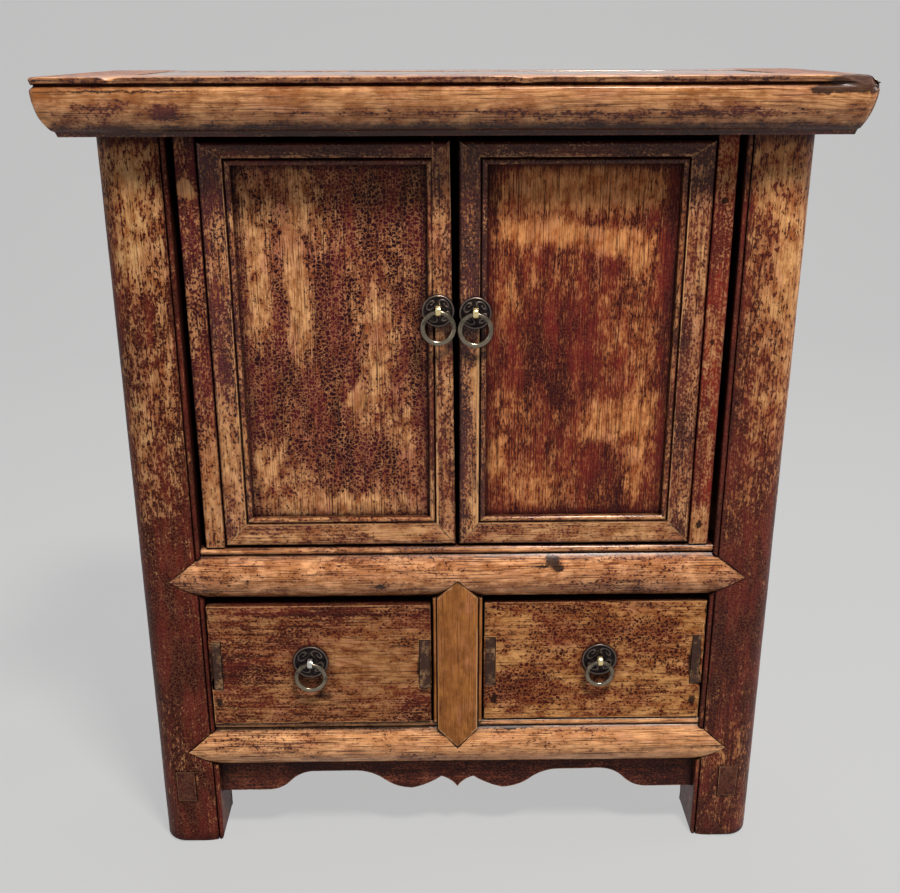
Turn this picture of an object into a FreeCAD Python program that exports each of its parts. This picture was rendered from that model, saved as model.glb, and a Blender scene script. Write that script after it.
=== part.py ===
import FreeCAD, Part
import Sketcher
import math
import os
from collections import namedtuple

# A small free-standing kang cabinet: a moulded top on four round-fronted legs, two framed doors on
# wooden pivots, two drawers below them and a scalloped apron. Millimetres, +Z up, +X to the right of
# someone facing the doors, the front facing -Y. The origin is on the floor under the middle of the top.

DRIVING_SIZES = {
    # whole object
    "overall_height": 871,
    "body_width": 700,
    "body_depth": 257,
    "overrun": 2,
    # moulded top
    "top_thickness": 54,
    "top_overhang": 41,
    "rear_overhang": 12,
    "top_rail_width": 76,
    "lip_round": 1.2,
    "lip_drop": 5.6,
    "lip_rake": 1.6,
    "top_quirk_inset": 5.6,
    "top_quirk_drop": 7.2,
    "shoulder_inset": 0.9,
    "shoulder_drop": 10.8,
    "ovolo_bulge": 3.4,
    "ovolo_inset": 14,
    "ovolo_drop": 47.6,
    "step_inset": 17,
    "step_drop": 49.4,
    "underside_inset": 18.5,
    "top_panel_drop": 0.6,
    "top_panel_field": 6,
    "top_panel_tongue": 6,
    "top_panel_gap": 0.5,
    "top_groove_depth": 7,
    "top_batten_place": 130,
    "top_batten_width": 34,
    "top_batten_height": 26,
    "top_batten_tenon": 12,
    "dovetail_depth": 4,
    "dovetail_neck": 18,
    "dovetail_spread": 3,
    "rear_rail_tenon": 22,
    "rear_rail_tenon_thickness": 18,
    # legs
    "leg_width": 70,
    "leg_depth": 68,
    "leg_corner": 26,
    "leg_face_fall": 5.5,
    "leg_bead": 6.5,
    "leg_quirk": 3,
    "rear_leg_corner": 8,
    "foot_round": 5,
    "leg_tenon_width": 26,
    "leg_tenon_depth": 22,
    "leg_tenon_height": 34,
    "leg_tenon_inset": 36,
    # front rails with their lapped, pointed ends
    "sill_top": 382,
    "sill_round_height": 51.5,
    "sill_bead": 9.5,
    "sill_tip_reach": 36,
    "sill_tip_rise": 24,
    "lower_rail_top": 161.5,
    "lower_round_height": 48.5,
    "lower_bead": 9,
    "lower_tip_reach": 32,
    "lower_tip_rise": 22,
    "rail_thickness": 45,
    "rail_edge_fall": 11,
    "bead_back": 12.5,
    "lap_depth": 16,
    "rail_tenon_length": 26,
    "rail_tenon_thickness": 14,
    "rail_tenon_shoulder": 9,
    # divider between the drawers
    "divider_face": 46,
    "divider_bead": 5,
    "divider_thickness": 41,
    "divider_crown": 1.5,
    "divider_edge_fall": 3.5,
    "divider_bead_back": 6.5,
    "divider_top_tip": 23,
    "divider_bottom_tip": 24,
    "divider_tenon_width": 30,
    "divider_tenon_depth": 12,
    # side and rear rails
    "side_rail_inset": 10,
    "side_rail_thickness": 36,
    "side_rail_fall": 4,
    "side_lower_bottom": 54,
    "side_lower_height": 52,
    "middle_rail_height": 45,
    "through_tenon_shoulder": 5,
    "through_tenon_inset": 11,
    "through_tenon_thickness": 22,
    "through_tenon_proud": 0.4,
    "blind_tenon_length": 24,
    "blind_tenon_shoulder": 8,
    "blind_tenon_thickness": 14,
    "rear_tenon_length": 24,
    # panels, floor and drawer runners
    "panel_inset": 8,
    "panel_thickness": 8,
    "panel_groove": 6,
    "floor_thickness": 14,
    "floor_stop_height": 4,
    "floor_gap": 0.5,
    "floor_notch_depth": 6,
    "runner_thickness": 14.5,
    "side_runner_width": 24,
    "middle_runner_width": 96,
    "runner_tenon": 8,
    "guide_height": 38,
    # scalloped apron
    "apron_setback": 17,
    "apron_thickness": 12,
    "apron_foot_height": 61,
    "apron_arch_height": 86.5,
    "apron_lobe_height": 61.5,
    "apron_cusp_height": 77.5,
    "apron_point_height": 62.5,
    # doors
    "door_setback": 8,
    "door_thickness": 22,
    "door_foot_gap": 2,
    "door_head_gap": 6,
    "door_meeting_gap": 3,
    "left_door_taper": 6,
    "outer_stile_width": 32,
    "meeting_stile_width": 28.5,
    "door_bottom_rail_height": 33,
    "door_top_rail_height": 23.5,
    "door_edge_round": 5,
    "door_moulding": 7.5,
    "door_quirk_width": 1.2,
    "door_quirk_depth": 2.8,
    "door_panel_setback": 7,
    "door_panel_thickness": 9,
    "door_panel_groove": 6,
    "door_panel_play": 0.4,
    "batten_width": 21.5,
    "batten_gap": 6,
    "batten_round": 2.5,
    "batten_end_gap": 0.5,
    "batten_sweep_gap": 1.2,
    "pivot_radius": 4.5,
    "pivot_play": 0.35,
    "pivot_top_length": 14,
    "pivot_foot_length": 9,
    # drawers
    "drawer_front_thickness": 20,
    "drawer_foot_gap": 1.5,
    "drawer_head_gap": 7.5,
    "drawer_leg_gap": 1.2,
    "drawer_divider_gap": 2,
    "drawer_side_thickness": 12,
    "drawer_side_inset": 1,
    "drawer_side_height": 138,
    "drawer_running_gap": 0.3,
    "drawer_back_gap": 0.3,
    "drawer_back_thickness": 12,
    "drawer_back_height": 116,
    "drawer_bottom_thickness": 8,
    "drawer_bottom_rise": 6,
    "drawer_bottom_groove": 5,
    "drawer_tenon_height": 62,
    "left_drawer_proud": 5,
    # pulls
    "plate_thickness": 1.1,
    "plate_rim_height": 1.9,
    "plate_rim_width": 2.2,
    "plate_dome_radius": 6,
    "plate_dome_height": 0.7,
    "eye_standoff": 6.4,
    "eye_rise": 1.6,
    "eye_radius": 5.5,
    "eye_hole_radius": 4.2,
    "ring_hang": 1.6,
    "staple_width": 5.5,
    "staple_strip": 2.8,
    "clinch_length": 18,
    "clinch_thickness": 1.4,
    "door_plate_radius": 16.6,
    "door_ring_radius": 16.2,
    "door_ring_wire": 2.2,
    "left_door_pull_side": 19.5,
    "left_door_pull_rise": 46.5,
    "right_door_pull_side": 18.3,
    "right_door_pull_rise": 44,
    "drawer_plate_radius": 19.7,
    "left_drawer_ring_radius": 16.4,
    "right_drawer_ring_radius": 14.6,
    "drawer_ring_wire": 2.1,
    "left_drawer_pull_shift": 11,
    "left_drawer_pull_rise": 5.5,
    "right_drawer_pull_shift": 6.5,
    "right_drawer_pull_rise": 2.5,
}

# The middle of a quarter round lies this share of its radius in from each of its two tangents.
QUARTER_SHARE = 1 - math.sqrt(0.5)

document = FreeCAD.newDocument("KangCabinet")
sheet = document.addObject("Spreadsheet::Sheet", "Sizes")
for row, (alias, value) in enumerate(DRIVING_SIZES.items(), start=1):
    sheet.set(f"A{row}", str(value))
    sheet.setAlias(f"A{row}", alias)
document.recompute()


class Size:
    """A length, as a number and as the sheet expression that gives it."""

    def __init__(self, number, text):
        self.number = number
        self.text = text

    def __add__(self, other):
        return Size(self.number + other.number, f"({self.text} + {other.text})")

    def __sub__(self, other):
        return Size(self.number - other.number, f"({self.text} - {other.text})")

    def __neg__(self):
        return Size(-self.number, f"(-{self.text})")

    def __mul__(self, factor):
        if factor == 1:
            return self
        if factor == -1:
            return -self
        return Size(self.number * factor, f"({self.text} * {factor})")

    __rmul__ = __mul__

    def __truediv__(self, factor):
        return Size(self.number / factor, f"({self.text} / {factor})")


class SheetSizes:
    """Reads a driving size from the sheet by its alias."""

    def __getattr__(self, alias):
        return Size(float(sheet.get(alias)), f"Sizes.{alias}")


s = SheetSizes()
ZERO = Size(0.0, "0")

# An outline is a list of corners (a, b) joined by straight edges, where Via(a, b) between two corners
# makes their edge an arc through that point. A Disc is a whole circle.
Via = namedtuple("Via", "a b")
Disc = namedtuple("Disc", "a b radius")


def rectangle(low_a, low_b, high_a, high_b):
    """A rectangle's four corners."""
    return [(low_a, low_b), (high_a, low_b), (high_a, high_b), (low_a, high_b)]


def mirrored(outline):
    """The same outline on the other side of the middle plane."""
    return [Via(-p.a, p.b) if isinstance(p, Via) else (-p[0], p[1]) for p in outline]


def arc_edge(start, middle, end):
    """The arc from start to end through middle, and whether the sketch holds it start to end."""
    circle = Part.Circle(start, middle, end)
    centre = circle.Center
    angles = [math.atan2(p.y - centre.y, p.x - centre.x) for p in (start, middle, end)]
    turn_middle = (angles[1] - angles[0]) % (2 * math.pi)
    turn_end = (angles[2] - angles[0]) % (2 * math.pi)
    forwards = turn_middle < turn_end
    first, last = (angles[0], angles[2]) if forwards else (angles[2], angles[0])
    if last < first:
        last += 2 * math.pi
    round_edge = Part.Circle(centre, FreeCAD.Vector(0, 0, 1), circle.Radius)
    return Part.ArcOfCircle(round_edge, first, last), forwards


def place(sketch, geometry, position, a, b):
    """Holds one point of a sketch at (a, b) from the sketch's origin."""
    for kind, axis, length in (("DistanceX", -2, a), ("DistanceY", -1, b)):
        if length.text == "0":
            sketch.addConstraint(Sketcher.Constraint("PointOnObject", geometry, position, axis))
            continue
        rule = Sketcher.Constraint(kind, -1, 1, geometry, position, length.number)
        number = sketch.addConstraint(rule)
        sketch.setExpression(f"Constraints[{number}]", length.text)


def draw_disc(sketch, disc):
    """Adds a circle to a sketch."""
    centre = FreeCAD.Vector(disc.a.number, disc.b.number, 0)
    circle = Part.Circle(centre, FreeCAD.Vector(0, 0, 1), disc.radius.number)
    geometry = sketch.addGeometry(circle, False)
    place(sketch, geometry, 3, disc.a, disc.b)
    number = sketch.addConstraint(Sketcher.Constraint("Radius", geometry, disc.radius.number))
    sketch.setExpression(f"Constraints[{number}]", disc.radius.text)


def draw_outline(sketch, outline):
    """Adds a closed outline to a sketch, with every corner held by the sheet."""
    if isinstance(outline, Disc):
        draw_disc(sketch, outline)
        return
    count = len(outline)
    edges = []
    for index, point in enumerate(outline):
        if isinstance(point, Via):
            continue
        follower = outline[(index + 1) % count]
        start = FreeCAD.Vector(point[0].number, point[1].number, 0)
        if isinstance(follower, Via):
            corner = outline[(index + 2) % count]
            middle = FreeCAD.Vector(follower.a.number, follower.b.number, 0)
            end = FreeCAD.Vector(corner[0].number, corner[1].number, 0)
            edge, forwards = arc_edge(start, middle, end)
            geometry = sketch.addGeometry(edge, False)
            mark = sketch.addGeometry(Part.Point(middle), True)
            place(sketch, mark, 1, follower.a, follower.b)
            sketch.addConstraint(Sketcher.Constraint("PointOnObject", mark, 1, geometry))
            edges.append((geometry, 1 if forwards else 2, 2 if forwards else 1, point))
        else:
            end = FreeCAD.Vector(follower[0].number, follower[1].number, 0)
            geometry = sketch.addGeometry(Part.LineSegment(start, end), False)
            edges.append((geometry, 1, 2, point))
    for index, (geometry, first, last, point) in enumerate(edges):
        before = edges[index - 1]
        sketch.addConstraint(Sketcher.Constraint("Coincident", before[0], before[2], geometry, first))
        place(sketch, geometry, first, point[0], point[1])


def body_named(label):
    """A new body whose label is the sub-part's name."""
    body = document.addObject("PartDesign::Body", "Body")
    body.Label = label
    return body


def sketch_on(body, plane, level, outlines):
    """A sketch on one of the body's own planes, moved to a level along that plane's axis."""
    sketch = body.newObject("Sketcher::SketchObject", "Sketch")
    role = f"{plane}_Plane"
    support = [item for item in body.Origin.OriginFeatures if item.Role == role][0]
    sketch.AttachmentSupport = [(support, "")]
    sketch.MapMode = "FlatFace"
    offset = -level if plane == "XZ" else level
    sketch.AttachmentOffset = FreeCAD.Placement(FreeCAD.Vector(0, 0, offset.number), FreeCAD.Rotation())
    sketch.setExpression("AttachmentOffset.Base.z", offset.text)
    for outline in outlines:
        draw_outline(sketch, outline)
    return sketch


def pad(body, plane, start, end, *outlines):
    """Adds material between two levels along the plane's axis."""
    feature = body.newObject("PartDesign::Pad", "Pad")
    feature.Profile = sketch_on(body, plane, start, outlines)
    feature.Length = (end - start).number
    feature.setExpression("Length", (end - start).text)
    feature.Reversed = plane == "XZ"
    return feature


pockets = []


def pocket(body, plane, start, end, *outlines):
    """Takes material away between two levels along the plane's axis."""
    feature = body.newObject("PartDesign::Pocket", "Pocket")
    feature.Profile = sketch_on(body, plane, start, outlines)
    feature.Length = (end - start).number
    feature.setExpression("Length", (end - start).text)
    feature.Reversed = plane != "XZ"
    pockets.append(feature)
    return feature


def mirror_of(source, label, plane_x=ZERO):
    """The same piece on the other side of a plane across X."""
    twin = document.addObject("Part::Mirroring", "Mirror")
    twin.Label = label
    twin.Source = source
    twin.Normal = FreeCAD.Vector(1, 0, 0)
    twin.Base = FreeCAD.Vector(plane_x.number, 0, 0)
    twin.setExpression("Base.x", plane_x.text)
    return twin


def box(label, low, high):
    """A plain board between two opposite corners."""
    board = document.addObject("Part::Box", "Box")
    board.Label = label
    for name, a, b in zip(("Length", "Width", "Height"), low, high):
        setattr(board, name, (b - a).number)
        board.setExpression(name, (b - a).text)
    for name, a in zip("xyz", low):
        board.setExpression(f"Placement.Base.{name}", a.text)
    return board


def group_of(label, *pieces):
    """Like pieces that share one node, each its own solid."""
    compound = document.addObject("Part::Compound", "Group")
    compound.Label = label
    compound.Links = list(pieces)
    return compound


nodes = []

# Places that the whole cabinet is set out from.
half_width = s.body_width / 2
inner_x = half_width - s.leg_width
top_half = half_width + s.top_overhang
total_depth = s.top_overhang + s.body_depth + s.rear_overhang
top_front = -(total_depth / 2)
top_back = total_depth / 2
front_y = top_front + s.top_overhang
back_y = front_y + s.body_depth
front_leg_back = front_y + s.leg_depth
rear_leg_front = back_y - s.leg_depth
top_z = s.overall_height
under_z = top_z - s.top_thickness
top_inner_x = top_half - s.top_rail_width
top_inner_front = top_front + s.top_rail_width
top_inner_back = top_back - s.top_rail_width

sill_shoulder = s.sill_top - s.sill_bead
sill_bottom = sill_shoulder - s.sill_round_height
sill_tip_z = sill_bottom + s.sill_tip_rise
sill_tip_x = inner_x + s.sill_tip_reach
lower_shoulder = s.lower_rail_top - s.lower_bead
lower_bottom = lower_shoulder - s.lower_round_height
lower_tip_z = lower_bottom + s.lower_tip_rise
lower_tip_x = inner_x + s.lower_tip_reach
rail_back = front_y + s.rail_thickness
lap_back = front_y + s.lap_depth

side_outer = half_width - s.side_rail_inset
side_inner = side_outer - s.side_rail_thickness
rear_outer = back_y - s.side_rail_inset
rear_inner = rear_outer - s.side_rail_thickness
side_lower_top = s.side_lower_bottom + s.side_lower_height
panel_x_out = side_outer - s.panel_inset
panel_x_in = panel_x_out - s.panel_thickness
panel_y_out = rear_outer - s.panel_inset
panel_y_in = panel_y_out - s.panel_thickness
floor_top = s.sill_top + s.floor_stop_height
floor_bottom = floor_top - s.floor_thickness
middle_bottom = floor_bottom - s.middle_rail_height

door_face = front_y + s.door_setback
door_back = door_face + s.door_thickness
door_bottom = s.sill_top + s.door_foot_gap
door_top = under_z - s.door_head_gap
batten_outer = inner_x - s.batten_gap
batten_inner = batten_outer - s.batten_width
meeting_x = s.door_meeting_gap / 2
pivot_x = batten_inner + s.batten_width / 2
pivot_y = door_face + s.door_thickness / 2
socket_radius = s.pivot_radius + s.pivot_play
floor_front = door_back + s.floor_gap

drawer_bottom_z = s.lower_rail_top + s.drawer_foot_gap
drawer_top_z = sill_bottom - s.drawer_head_gap
drawer_outer = inner_x - s.drawer_leg_gap
divider_half = s.divider_face / 2 + s.divider_bead
drawer_inner = divider_half + s.drawer_divider_gap
drawer_middle = (drawer_outer + drawer_inner) / 2
runner_bottom = s.lower_rail_top - s.runner_thickness
apron_front = front_y + s.apron_setback
apron_back = apron_front + s.apron_thickness
apron_top = lower_bottom + s.panel_groove

# Moulded top: a mitred frame whose edge has a thin lip over a broad ovolo and a small step at the foot.


def moulding(across):
    """The top's edge, where across(inset) turns an inset from the lip into a place."""
    middle_inset = (s.shoulder_inset + s.ovolo_inset) / 2 - s.ovolo_bulge
    middle_drop = (s.shoulder_drop + s.ovolo_drop) / 2
    return [
        (across(s.lip_round), top_z),
        Via(across(s.lip_round * QUARTER_SHARE), top_z - s.lip_round * QUARTER_SHARE),
        (across(ZERO), top_z - s.lip_round),
        (across(s.lip_rake), top_z - s.lip_drop),
        (across(s.top_quirk_inset), top_z - s.top_quirk_drop),
        (across(s.shoulder_inset), top_z - s.shoulder_drop),
        Via(across(middle_inset), top_z - middle_drop),
        (across(s.ovolo_inset), top_z - s.ovolo_drop),
        (across(s.step_inset), top_z - s.step_drop),
        (across(s.underside_inset), under_z),
        (across(s.top_rail_width), under_z),
        (across(s.top_rail_width), top_z),
    ]


tongue_top = top_z - s.top_panel_drop - s.top_panel_field
tongue_bottom = tongue_top - s.top_panel_tongue
groove_x = top_inner_x + s.top_groove_depth
groove_front = top_inner_front - s.top_groove_depth
groove_back = top_inner_back + s.top_groove_depth
top_batten_bottom = tongue_bottom - s.top_batten_height


def batten_mortises(body, start, end):
    """Mortises for the two battens of the top panel."""
    for side in (-1, 1):
        middle = side * s.top_batten_place
        half = s.top_batten_width / 2
        pocket(body, "XZ", start, end,
               rectangle(middle - half, top_batten_bottom, middle + half, tongue_bottom))


front_leg_tenon_x = half_width - s.leg_tenon_inset
front_leg_tenon_low = (front_leg_tenon_x - s.leg_tenon_width, front_y + s.foot_round)
front_leg_tenon = rectangle(front_leg_tenon_low[0], front_leg_tenon_low[1], front_leg_tenon_x,
                            front_leg_tenon_low[1] + s.leg_tenon_depth)
rear_leg_tenon = rectangle(inner_x + s.leg_width / 2, back_y - s.leg_depth / 2 - s.leg_tenon_depth,
                           half_width - s.rear_leg_corner, back_y - s.leg_depth / 2)

top_front_rail = body_named("top_front_rail")
pad(top_front_rail, "YZ", -top_half, top_half, moulding(lambda inset: top_front + inset))
front_mitre = [(top_inner_x - s.overrun, top_inner_front + s.overrun),
               (top_half + s.overrun, top_front - s.overrun),
               (top_half + s.overrun, top_inner_front + s.overrun)]
pocket(top_front_rail, "XY", under_z - s.overrun, top_z + s.overrun, front_mitre, mirrored(front_mitre))
pocket(top_front_rail, "YZ", -groove_x, groove_x,
       rectangle(groove_front, tongue_bottom, top_inner_front + s.overrun, tongue_top))
batten_mortises(top_front_rail, top_inner_front - s.top_batten_tenon, top_inner_front + s.overrun)
pocket(top_front_rail, "XY", under_z - s.overrun, under_z + s.leg_tenon_height,
       front_leg_tenon, mirrored(front_leg_tenon))
pocket(top_front_rail, "XY", under_z - s.overrun, under_z + s.pivot_top_length,
       Disc(pivot_x, pivot_y, socket_radius), Disc(-pivot_x, pivot_y, socket_radius))
nodes.append(top_front_rail)

rear_tenon_low = tongue_bottom - s.rear_rail_tenon_thickness - s.dovetail_depth
rear_tenon_high = tongue_bottom - s.dovetail_depth
rear_tenon_section = rectangle(back_y - s.leg_depth / 2, rear_tenon_low,
                               top_back - s.top_batten_tenon, rear_tenon_high)

top_right_end = body_named("top_right_end")
pad(top_right_end, "XZ", top_front, top_back, moulding(lambda inset: top_half - inset))
end_mitre = [(top_half + s.overrun, top_front - s.overrun),
             (top_inner_x - s.overrun, top_inner_front + s.overrun),
             (top_inner_x - s.overrun, top_front - s.overrun)]
pocket(top_right_end, "XY", under_z - s.overrun, top_z + s.overrun, end_mitre)
pocket(top_right_end, "XZ", groove_front, groove_back,
       rectangle(top_inner_x - s.overrun, tongue_bottom, groove_x, tongue_top))
pocket(top_right_end, "YZ", top_inner_x - s.overrun, top_inner_x + s.rear_rail_tenon, rear_tenon_section)
pocket(top_right_end, "XY", under_z - s.overrun, under_z + s.leg_tenon_height, rear_leg_tenon)
pocket(top_right_end, "XY", under_z - s.overrun, under_z + s.panel_groove,
       rectangle(panel_x_in, front_leg_back - s.panel_groove, panel_x_out, rear_leg_front + s.panel_groove))
nodes.append(top_right_end)
nodes.append(mirror_of(top_right_end, "top_left_end"))

top_rear_rail = body_named("top_rear_rail")
pad(top_rear_rail, "XY", under_z, top_z,
    rectangle(-top_inner_x, top_inner_back, top_inner_x, top_back))
pad(top_rear_rail, "YZ", top_inner_x, top_inner_x + s.rear_rail_tenon, rear_tenon_section)
pad(top_rear_rail, "YZ", -(top_inner_x + s.rear_rail_tenon), -top_inner_x, rear_tenon_section)
pocket(top_rear_rail, "YZ", -groove_x, groove_x,
       rectangle(top_inner_back - s.overrun, tongue_bottom, groove_back, tongue_top))
batten_mortises(top_rear_rail, top_inner_back - s.overrun, top_inner_back + s.top_batten_tenon)
pocket(top_rear_rail, "XY", under_z - s.overrun, under_z + s.panel_groove,
       rectangle(-(inner_x + s.panel_groove), panel_y_in, inner_x + s.panel_groove, panel_y_out))
nodes.append(top_rear_rail)

# The dovetailed battens keep the floating top board flat.


def dovetail(middle):
    """The section of a batten's dovetail in the underside of the top board."""
    neck = s.dovetail_neck / 2
    head = neck + s.dovetail_spread
    return [(middle - neck, tongue_bottom), (middle + neck, tongue_bottom),
            (middle + head, tongue_bottom + s.dovetail_depth),
            (middle - head, tongue_bottom + s.dovetail_depth)]


top_panel = body_named("top_panel")
tongue_play = s.top_groove_depth - s.top_panel_gap
pad(top_panel, "XY", tongue_bottom, tongue_top,
    rectangle(-(top_inner_x + tongue_play), top_inner_front - tongue_play,
              top_inner_x + tongue_play, top_inner_back + tongue_play))
pad(top_panel, "XY", tongue_top, tongue_top + s.top_panel_field,
    rectangle(-(top_inner_x - s.top_panel_gap), top_inner_front + s.top_panel_gap,
              top_inner_x - s.top_panel_gap, top_inner_back - s.top_panel_gap))
for batten_side in (-1, 1):
    pocket(top_panel, "XZ", top_inner_front - tongue_play - s.overrun,
           top_inner_back + tongue_play + s.overrun, dovetail(batten_side * s.top_batten_place))
nodes.append(top_panel)

top_batten = body_named("right top batten")
pad(top_batten, "XZ", top_inner_front - s.top_batten_tenon, top_inner_back + s.top_batten_tenon,
    rectangle(s.top_batten_place - s.top_batten_width / 2, top_batten_bottom,
              s.top_batten_place + s.top_batten_width / 2, tongue_bottom))
pad(top_batten, "XZ", top_inner_front, top_inner_back, dovetail(s.top_batten_place))
nodes.append(group_of("top_battens", top_batten, mirror_of(top_batten, "left top batten")))

# Legs. The front legs have a rounded outer corner, a gently crowned face and a bead on the inner arris.


def lap_outline(bottom, shoulder, tip_x, tip_z):
    """The pointed end of a front rail, as it lies in the front of the right leg."""
    return [(inner_x - s.overrun, bottom), (inner_x, bottom), (tip_x, tip_z),
            (inner_x, shoulder), (inner_x - s.overrun, shoulder)]


def rail_tenon(bottom, shoulder):
    """The section of a front rail's tenon behind its lap."""
    return rectangle(lap_back, bottom + s.rail_tenon_shoulder,
                     lap_back + s.rail_tenon_thickness, shoulder - s.rail_tenon_shoulder)


through_tenon = rectangle(
    side_outer - s.through_tenon_inset - s.through_tenon_thickness,
    s.side_lower_bottom + s.through_tenon_shoulder,
    side_outer - s.through_tenon_inset,
    side_lower_top - s.panel_groove)
blind_side_tenon = rectangle(
    panel_x_in - s.blind_tenon_thickness - s.floor_gap,
    middle_bottom + s.blind_tenon_shoulder,
    panel_x_in - s.floor_gap,
    floor_bottom - s.blind_tenon_shoulder)
side_groove = rectangle(panel_x_in, side_lower_top - s.panel_groove, panel_x_out, under_z + s.overrun)
back_groove = rectangle(panel_y_in, s.lower_rail_top - s.panel_groove, panel_y_out, under_z + s.overrun)


def foot_edges(shape):
    """The names of the edges that lie on the floor."""
    names = []
    for number, edge in enumerate(shape.Edges, start=1):
        if edge.BoundBox.ZMax < shape.BoundBox.ZMin + Part.Precision.confusion():
            names.append(f"Edge{number}")
    return names


def round_foot(body, post):
    """Eases the arrises under a leg."""
    document.recompute()
    easing = body.newObject("PartDesign::Fillet", "FootRound")
    easing.Base = (post, foot_edges(post.Shape))
    easing.Radius = s.foot_round.number
    easing.setExpression("Radius", s.foot_round.text)


def front_leg():
    """The right front leg."""
    body = body_named("front_right_leg")
    corner_middle = s.leg_corner * QUARTER_SHARE
    post = pad(body, "XY", ZERO, under_z, [
        (half_width, front_leg_back),
        (half_width, front_y + s.leg_corner),
        Via(half_width - corner_middle, front_y + corner_middle),
        (half_width - s.leg_corner, front_y),
        (inner_x, front_y),
        (inner_x, front_leg_back)])
    round_foot(body, post)
    bead_x = inner_x + s.leg_bead
    bead_y = front_y + s.leg_face_fall + s.leg_quirk
    pocket(body, "XY", -s.overrun, under_z + s.overrun, [
        (half_width - s.leg_corner, front_y - s.overrun),
        (half_width - s.leg_corner, front_y),
        Via((half_width - s.leg_corner + bead_x) / 2, front_y + s.leg_face_fall / 4),
        (bead_x, front_y + s.leg_face_fall),
        (bead_x, bead_y),
        Via(inner_x + s.leg_bead / 2, bead_y - s.leg_bead / 2),
        (inner_x, bead_y),
        (inner_x - s.overrun, bead_y),
        (inner_x - s.overrun, front_y - s.overrun)])
    pad(body, "XY", under_z, under_z + s.leg_tenon_height, front_leg_tenon)
    pocket(body, "XZ", front_y - s.overrun, lap_back,
           lap_outline(sill_bottom, sill_shoulder, sill_tip_x, sill_tip_z),
           lap_outline(lower_bottom, lower_shoulder, lower_tip_x, lower_tip_z))
    pocket(body, "YZ", inner_x - s.overrun, inner_x + s.rail_tenon_length,
           rail_tenon(sill_bottom, sill_shoulder), rail_tenon(lower_bottom, lower_shoulder))
    pocket(body, "YZ", inner_x - s.overrun, inner_x + s.panel_groove,
           rectangle(apron_front, s.apron_foot_height, apron_back, apron_top))
    pocket(body, "XZ", front_y - s.overrun, front_leg_back + s.overrun, through_tenon)
    pocket(body, "XZ", front_leg_back - s.blind_tenon_length, front_leg_back + s.overrun, blind_side_tenon)
    pocket(body, "XZ", front_leg_back - s.panel_groove, front_leg_back + s.overrun, side_groove)
    return body


def rear_rail_tenon_section(bottom, top):
    """The section of a rear rail's tenon in the inner face of a rear leg."""
    return rectangle(rear_inner, bottom + s.blind_tenon_shoulder,
                     rear_inner + s.blind_tenon_thickness, top - s.blind_tenon_shoulder)


def rear_leg():
    """The right rear leg."""
    body = body_named("rear_right_leg")
    corner_middle = s.rear_leg_corner * QUARTER_SHARE
    post = pad(body, "XY", ZERO, under_z, [
        (half_width, rear_leg_front),
        (half_width, back_y - s.rear_leg_corner),
        Via(half_width - corner_middle, back_y - corner_middle),
        (half_width - s.rear_leg_corner, back_y),
        (inner_x, back_y),
        (inner_x, rear_leg_front)])
    round_foot(body, post)
    pad(body, "XY", under_z, under_z + s.leg_tenon_height, rear_leg_tenon)
    pocket(body, "XZ", rear_leg_front - s.overrun, rear_leg_front + s.rear_tenon_length,
           through_tenon, blind_side_tenon)
    pocket(body, "XZ", rear_leg_front - s.overrun, rear_leg_front + s.panel_groove, side_groove)
    pocket(body, "YZ", inner_x - s.overrun, inner_x + s.rear_tenon_length,
           rear_rail_tenon_section(middle_bottom, floor_bottom),
           rear_rail_tenon_section(lower_bottom, s.lower_rail_top))
    pocket(body, "YZ", inner_x - s.overrun, inner_x + s.panel_groove, back_groove)
    return body


for leg, twin_label in ((front_leg(), "front_left_leg"), (rear_leg(), "rear_left_leg")):
    nodes.append(leg)
    nodes.append(mirror_of(leg, twin_label))

# Front rails: a half-round face under a bead, with pointed ends that lap over the legs.


def front_rail(label, bottom, shoulder, top, tip_x, tip_z, back_step):
    """One front rail. back_step lists the corners of its top behind the bead."""
    body = body_named(label)
    edge_y = front_y + s.rail_edge_fall
    bead_y = front_y + s.bead_back
    pad(body, "YZ", -tip_x, tip_x, [
        (rail_back, bottom),
        (edge_y, bottom),
        Via(front_y, (bottom + shoulder) / 2),
        (edge_y, shoulder),
        (bead_y, shoulder),
        Via(bead_y - (top - shoulder) / 2, (shoulder + top) / 2),
        (bead_y, top),
        *back_step])
    through = (front_y - s.overrun, rail_back + s.overrun)
    above = [(inner_x, top + s.overrun), (inner_x, shoulder), (tip_x, tip_z), (tip_x, top + s.overrun)]
    below = [(inner_x, bottom - s.overrun), (inner_x, bottom), (tip_x, tip_z),
             (tip_x, bottom - s.overrun)]
    for corner in (above, below):
        pocket(body, "XZ", *through, corner, mirrored(corner))
    behind_lap = rectangle(inner_x, lap_back, tip_x + s.overrun, rail_back + s.overrun)
    pocket(body, "XY", bottom - s.overrun, top + s.overrun, behind_lap, mirrored(behind_lap))
    tenon = rail_tenon(bottom, shoulder)
    pad(body, "YZ", inner_x, inner_x + s.rail_tenon_length, tenon)
    pad(body, "YZ", -(inner_x + s.rail_tenon_length), -inner_x, tenon)
    return body


half_face = s.divider_face / 2
divider_top_z = sill_bottom + s.divider_top_tip
divider_bottom_z = lower_shoulder - s.divider_bottom_tip
divider_tenon = rectangle(-(s.divider_tenon_width / 2), lap_back + s.divider_bead,
                          s.divider_tenon_width / 2, lap_back + s.divider_bead + s.divider_tenon_depth)

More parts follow.
